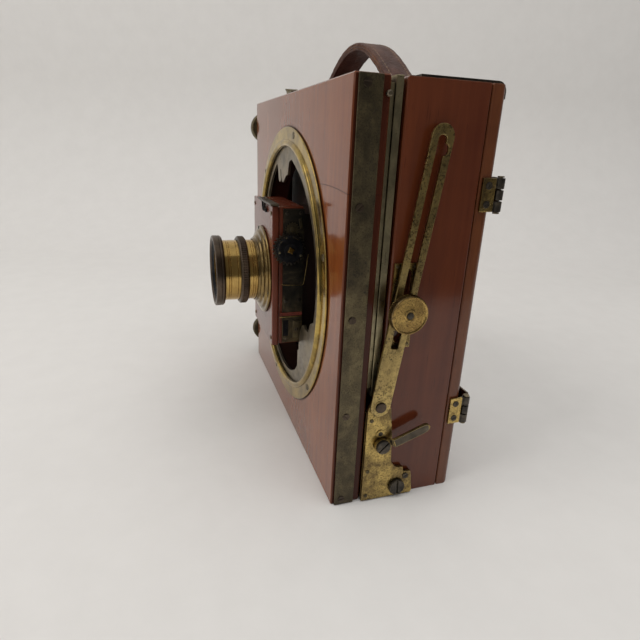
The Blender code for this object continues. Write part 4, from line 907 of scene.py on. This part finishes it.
# Stitches: short spindles laid at even steps along both grooves.
STITCH_STEP, STITCH = 3.3, ((-1.15, 0.1), (-0.8, 0.24), (0, 0.3), (0.8, 0.24), (1.15, 0.1))
ACROSS = Vector((0, 1, 0))
points, faces = [], []
for edge in (-5.3, 5.3):
    line = [Vector((MIDDLE + top[0], CENTRE_Y + edge, GROUND + top[1] - 0.16)) for top, _ in pairs]
    places, run, travelled = [], 0, 0
    for a, b in zip(line, line[1:]):
        length = (b - a).length
        while run < travelled + length:
            places.append((a + (b - a) * ((run - travelled) / length), (b - a).normalized()))
            run += STITCH_STEP
        travelled += length
    for place, way in places[1:-1]:
        up = ACROSS.cross(way).normalized()
        faces += skin(len(STITCH), 8, len(points))
        for along, girth in STITCH:
            for t in [2 * pi * k / 8 for k in range(8)]:
                points.append(place + way * along + (ACROSS * cos(t) + up * sin(t)) * girth)
finish("strap_stitching", points, faces, "thread", CASE, 60)
for sign, side in SIDES:
    screw(f"handle_screw_{side}", (MIDDLE + sign * 65.4, CENTRE_Y, 220.4), (0, 0, 1), 3, 0.9, CASE,
        30 + 25 * sign, "strip")
    screws(f"handle_plate_screw_{side}", [(MIDDLE + sign * 63.5, y, 217.3) for y in (-8.8, 9.4)], (0, 0, 1),
        0.9, 0.3, CASE, step=40, look="strip")


# ---- floor, light and camera, all in metres

def stage_mesh(name, points, faces, mat, smooth=False):
    mesh = bpy.data.meshes.new(name)
    mesh.from_pydata(points, [], faces)
    for face in mesh.polygons:
        face.use_smooth = smooth
    made = bpy.data.objects.new(name, mesh)
    SCENE.collection.objects.link(made)
    made.data.materials.append(mat)
    return made


def reflection_card(name, corners, mat):
    """A panel that only reflections see."""
    card = stage_mesh(name, corners, [(0, 1, 2, 3)], mat)
    card.visible_camera = card.visible_diffuse = card.visible_shadow = card.visible_transmission = False


def glow(name, power):
    return Look(name + "_light").finish((0.8, 0.8, 0.8), 0.9, Emission_Color=(1, 0.97, 0.92),
        Emission_Strength=power)


def lamp(name, place, target, power, size, colour):
    data = bpy.data.lights.new(name, "AREA")
    data.energy, data.size, data.color = power, size, colour
    made = bpy.data.objects.new(name, data)
    made.location = place
    made.rotation_euler = (Vector(target) - Vector(place)).to_track_quat("-Z", "Y").to_euler()
    SCENE.collection.objects.link(made)
    made.visible_glossy = False


# The floor is a sheet of pale paper that sweeps up behind the object.
paper = Look("pale_paper")
tone = paper.ramp(paper.noise(40, 4, 0.6), (0.35, (0.68, 0.665, 0.645)), (0.65, (0.7, 0.685, 0.665)))
pale = paper.finish(tone, 0.75, 0, paper.noise(160, 4, 0.6), 0.0004, 0.3, Specular_IOR_Level=0.15)
AWAY, ASIDE = Vector((-0.949, 0.315)), Vector((0.315, 0.949))
SWEEP_START, SWEEP_RADIUS, HALF_WIDTH = 0.42, 0.3, 2.2
sweep = [(-2.4, 0), (0, 0), (SWEEP_START, 0)]
sweep += [(SWEEP_START + SWEEP_RADIUS * sin(t), SWEEP_RADIUS - SWEEP_RADIUS * cos(t))
    for t in [pi / 2 * k / 16 for k in range(1, 17)]] + [(0.72, 1.1)]
edges = (-HALF_WIDTH, HALF_WIDTH)
points = [(*(AWAY * along + ASIDE * across), height) for along, height in sweep for across in edges]
stage_mesh("Floor", points, [(i, i + 1, i + 3, i + 2) for i in range(0, 2 * len(sweep) - 2, 2)], pale, True)
flag = Look("black_card")
reflection_card("BlackCard", [(0.43, y, z) for y, z in rect(-0.9, 0, 1.3, 1.2)],
    flag.finish(flag.ramp(flag.noise(5), (0.3, 0.012), (0.7, 0.02)), 0.9,
        Emission_Color=(1, 0.93, 0.84), Emission_Strength=0.075))

world = bpy.data.worlds.new("Studio")
SCENE.world = world
world.use_nodes = True
tree = world.node_tree
split = tree.nodes.new("ShaderNodeSeparateXYZ")
tree.links.new(tree.nodes.new("ShaderNodeTexCoord").outputs["Generated"], split.inputs[0])
climb = tree.nodes.new("ShaderNodeMapRange")
tree.links.new(split.outputs["Z"], climb.inputs[0])
for key, value in (("From Min", -0.1), ("From Max", 0.9), ("To Min", 0.25), ("To Max", 0.55)):
    climb.inputs[key].default_value = value
tree.links.new(climb.outputs[0], tree.nodes["Background"].inputs["Strength"])
tree.nodes["Background"].inputs["Color"].default_value = (1, 0.985, 0.965, 1)

lamp("Key", (0.1, -1.25, 1.25), (0, 0, 0.1), 10.5, 0.9, (1, 0.98, 0.95))
lamp("Top", (0.35, 0.15, 1.5), (0.05, 0, 0.1), 8.5, 1.1, (1, 0.99, 0.98))
reflection_card("HighPanel",
    [(-0.5, -0.9, 0.75), (0.1, -0.9, 0.75), (0.1, -0.55, 1.05), (-0.5, -0.55, 1.05)], glow("HighPanel", 1.3))
reflection_card("SidePanel",
    [(0.36, y, z) for y, z in rect(-0.75, 0.28, -0.58, 0.62)], glow("SidePanel", 1.6))

# The camera's place and its three axes, fitted to the photograph.
cam = bpy.data.cameras.new("Camera")
cam.lens, cam.sensor_width = 27.06, 36
cam.clip_start, cam.clip_end = 0.01, 20
ahead, right = Vector((-0.89141, 0.29643, -0.34282)), Vector((0.30222, 0.95249, 0.03775))
down = Vector((0.33772, -0.06996, -0.93864))
holder = bpy.data.objects.new("Camera", cam)
stand = Matrix((right, -down, -ahead)).transposed().to_4x4()
stand.translation = (0.30768, -0.12258, 0.18758)
holder.matrix_world = stand
SCENE.collection.objects.link(holder)
SCENE.camera = holder
SCENE.view_settings.view_transform = "Standard"
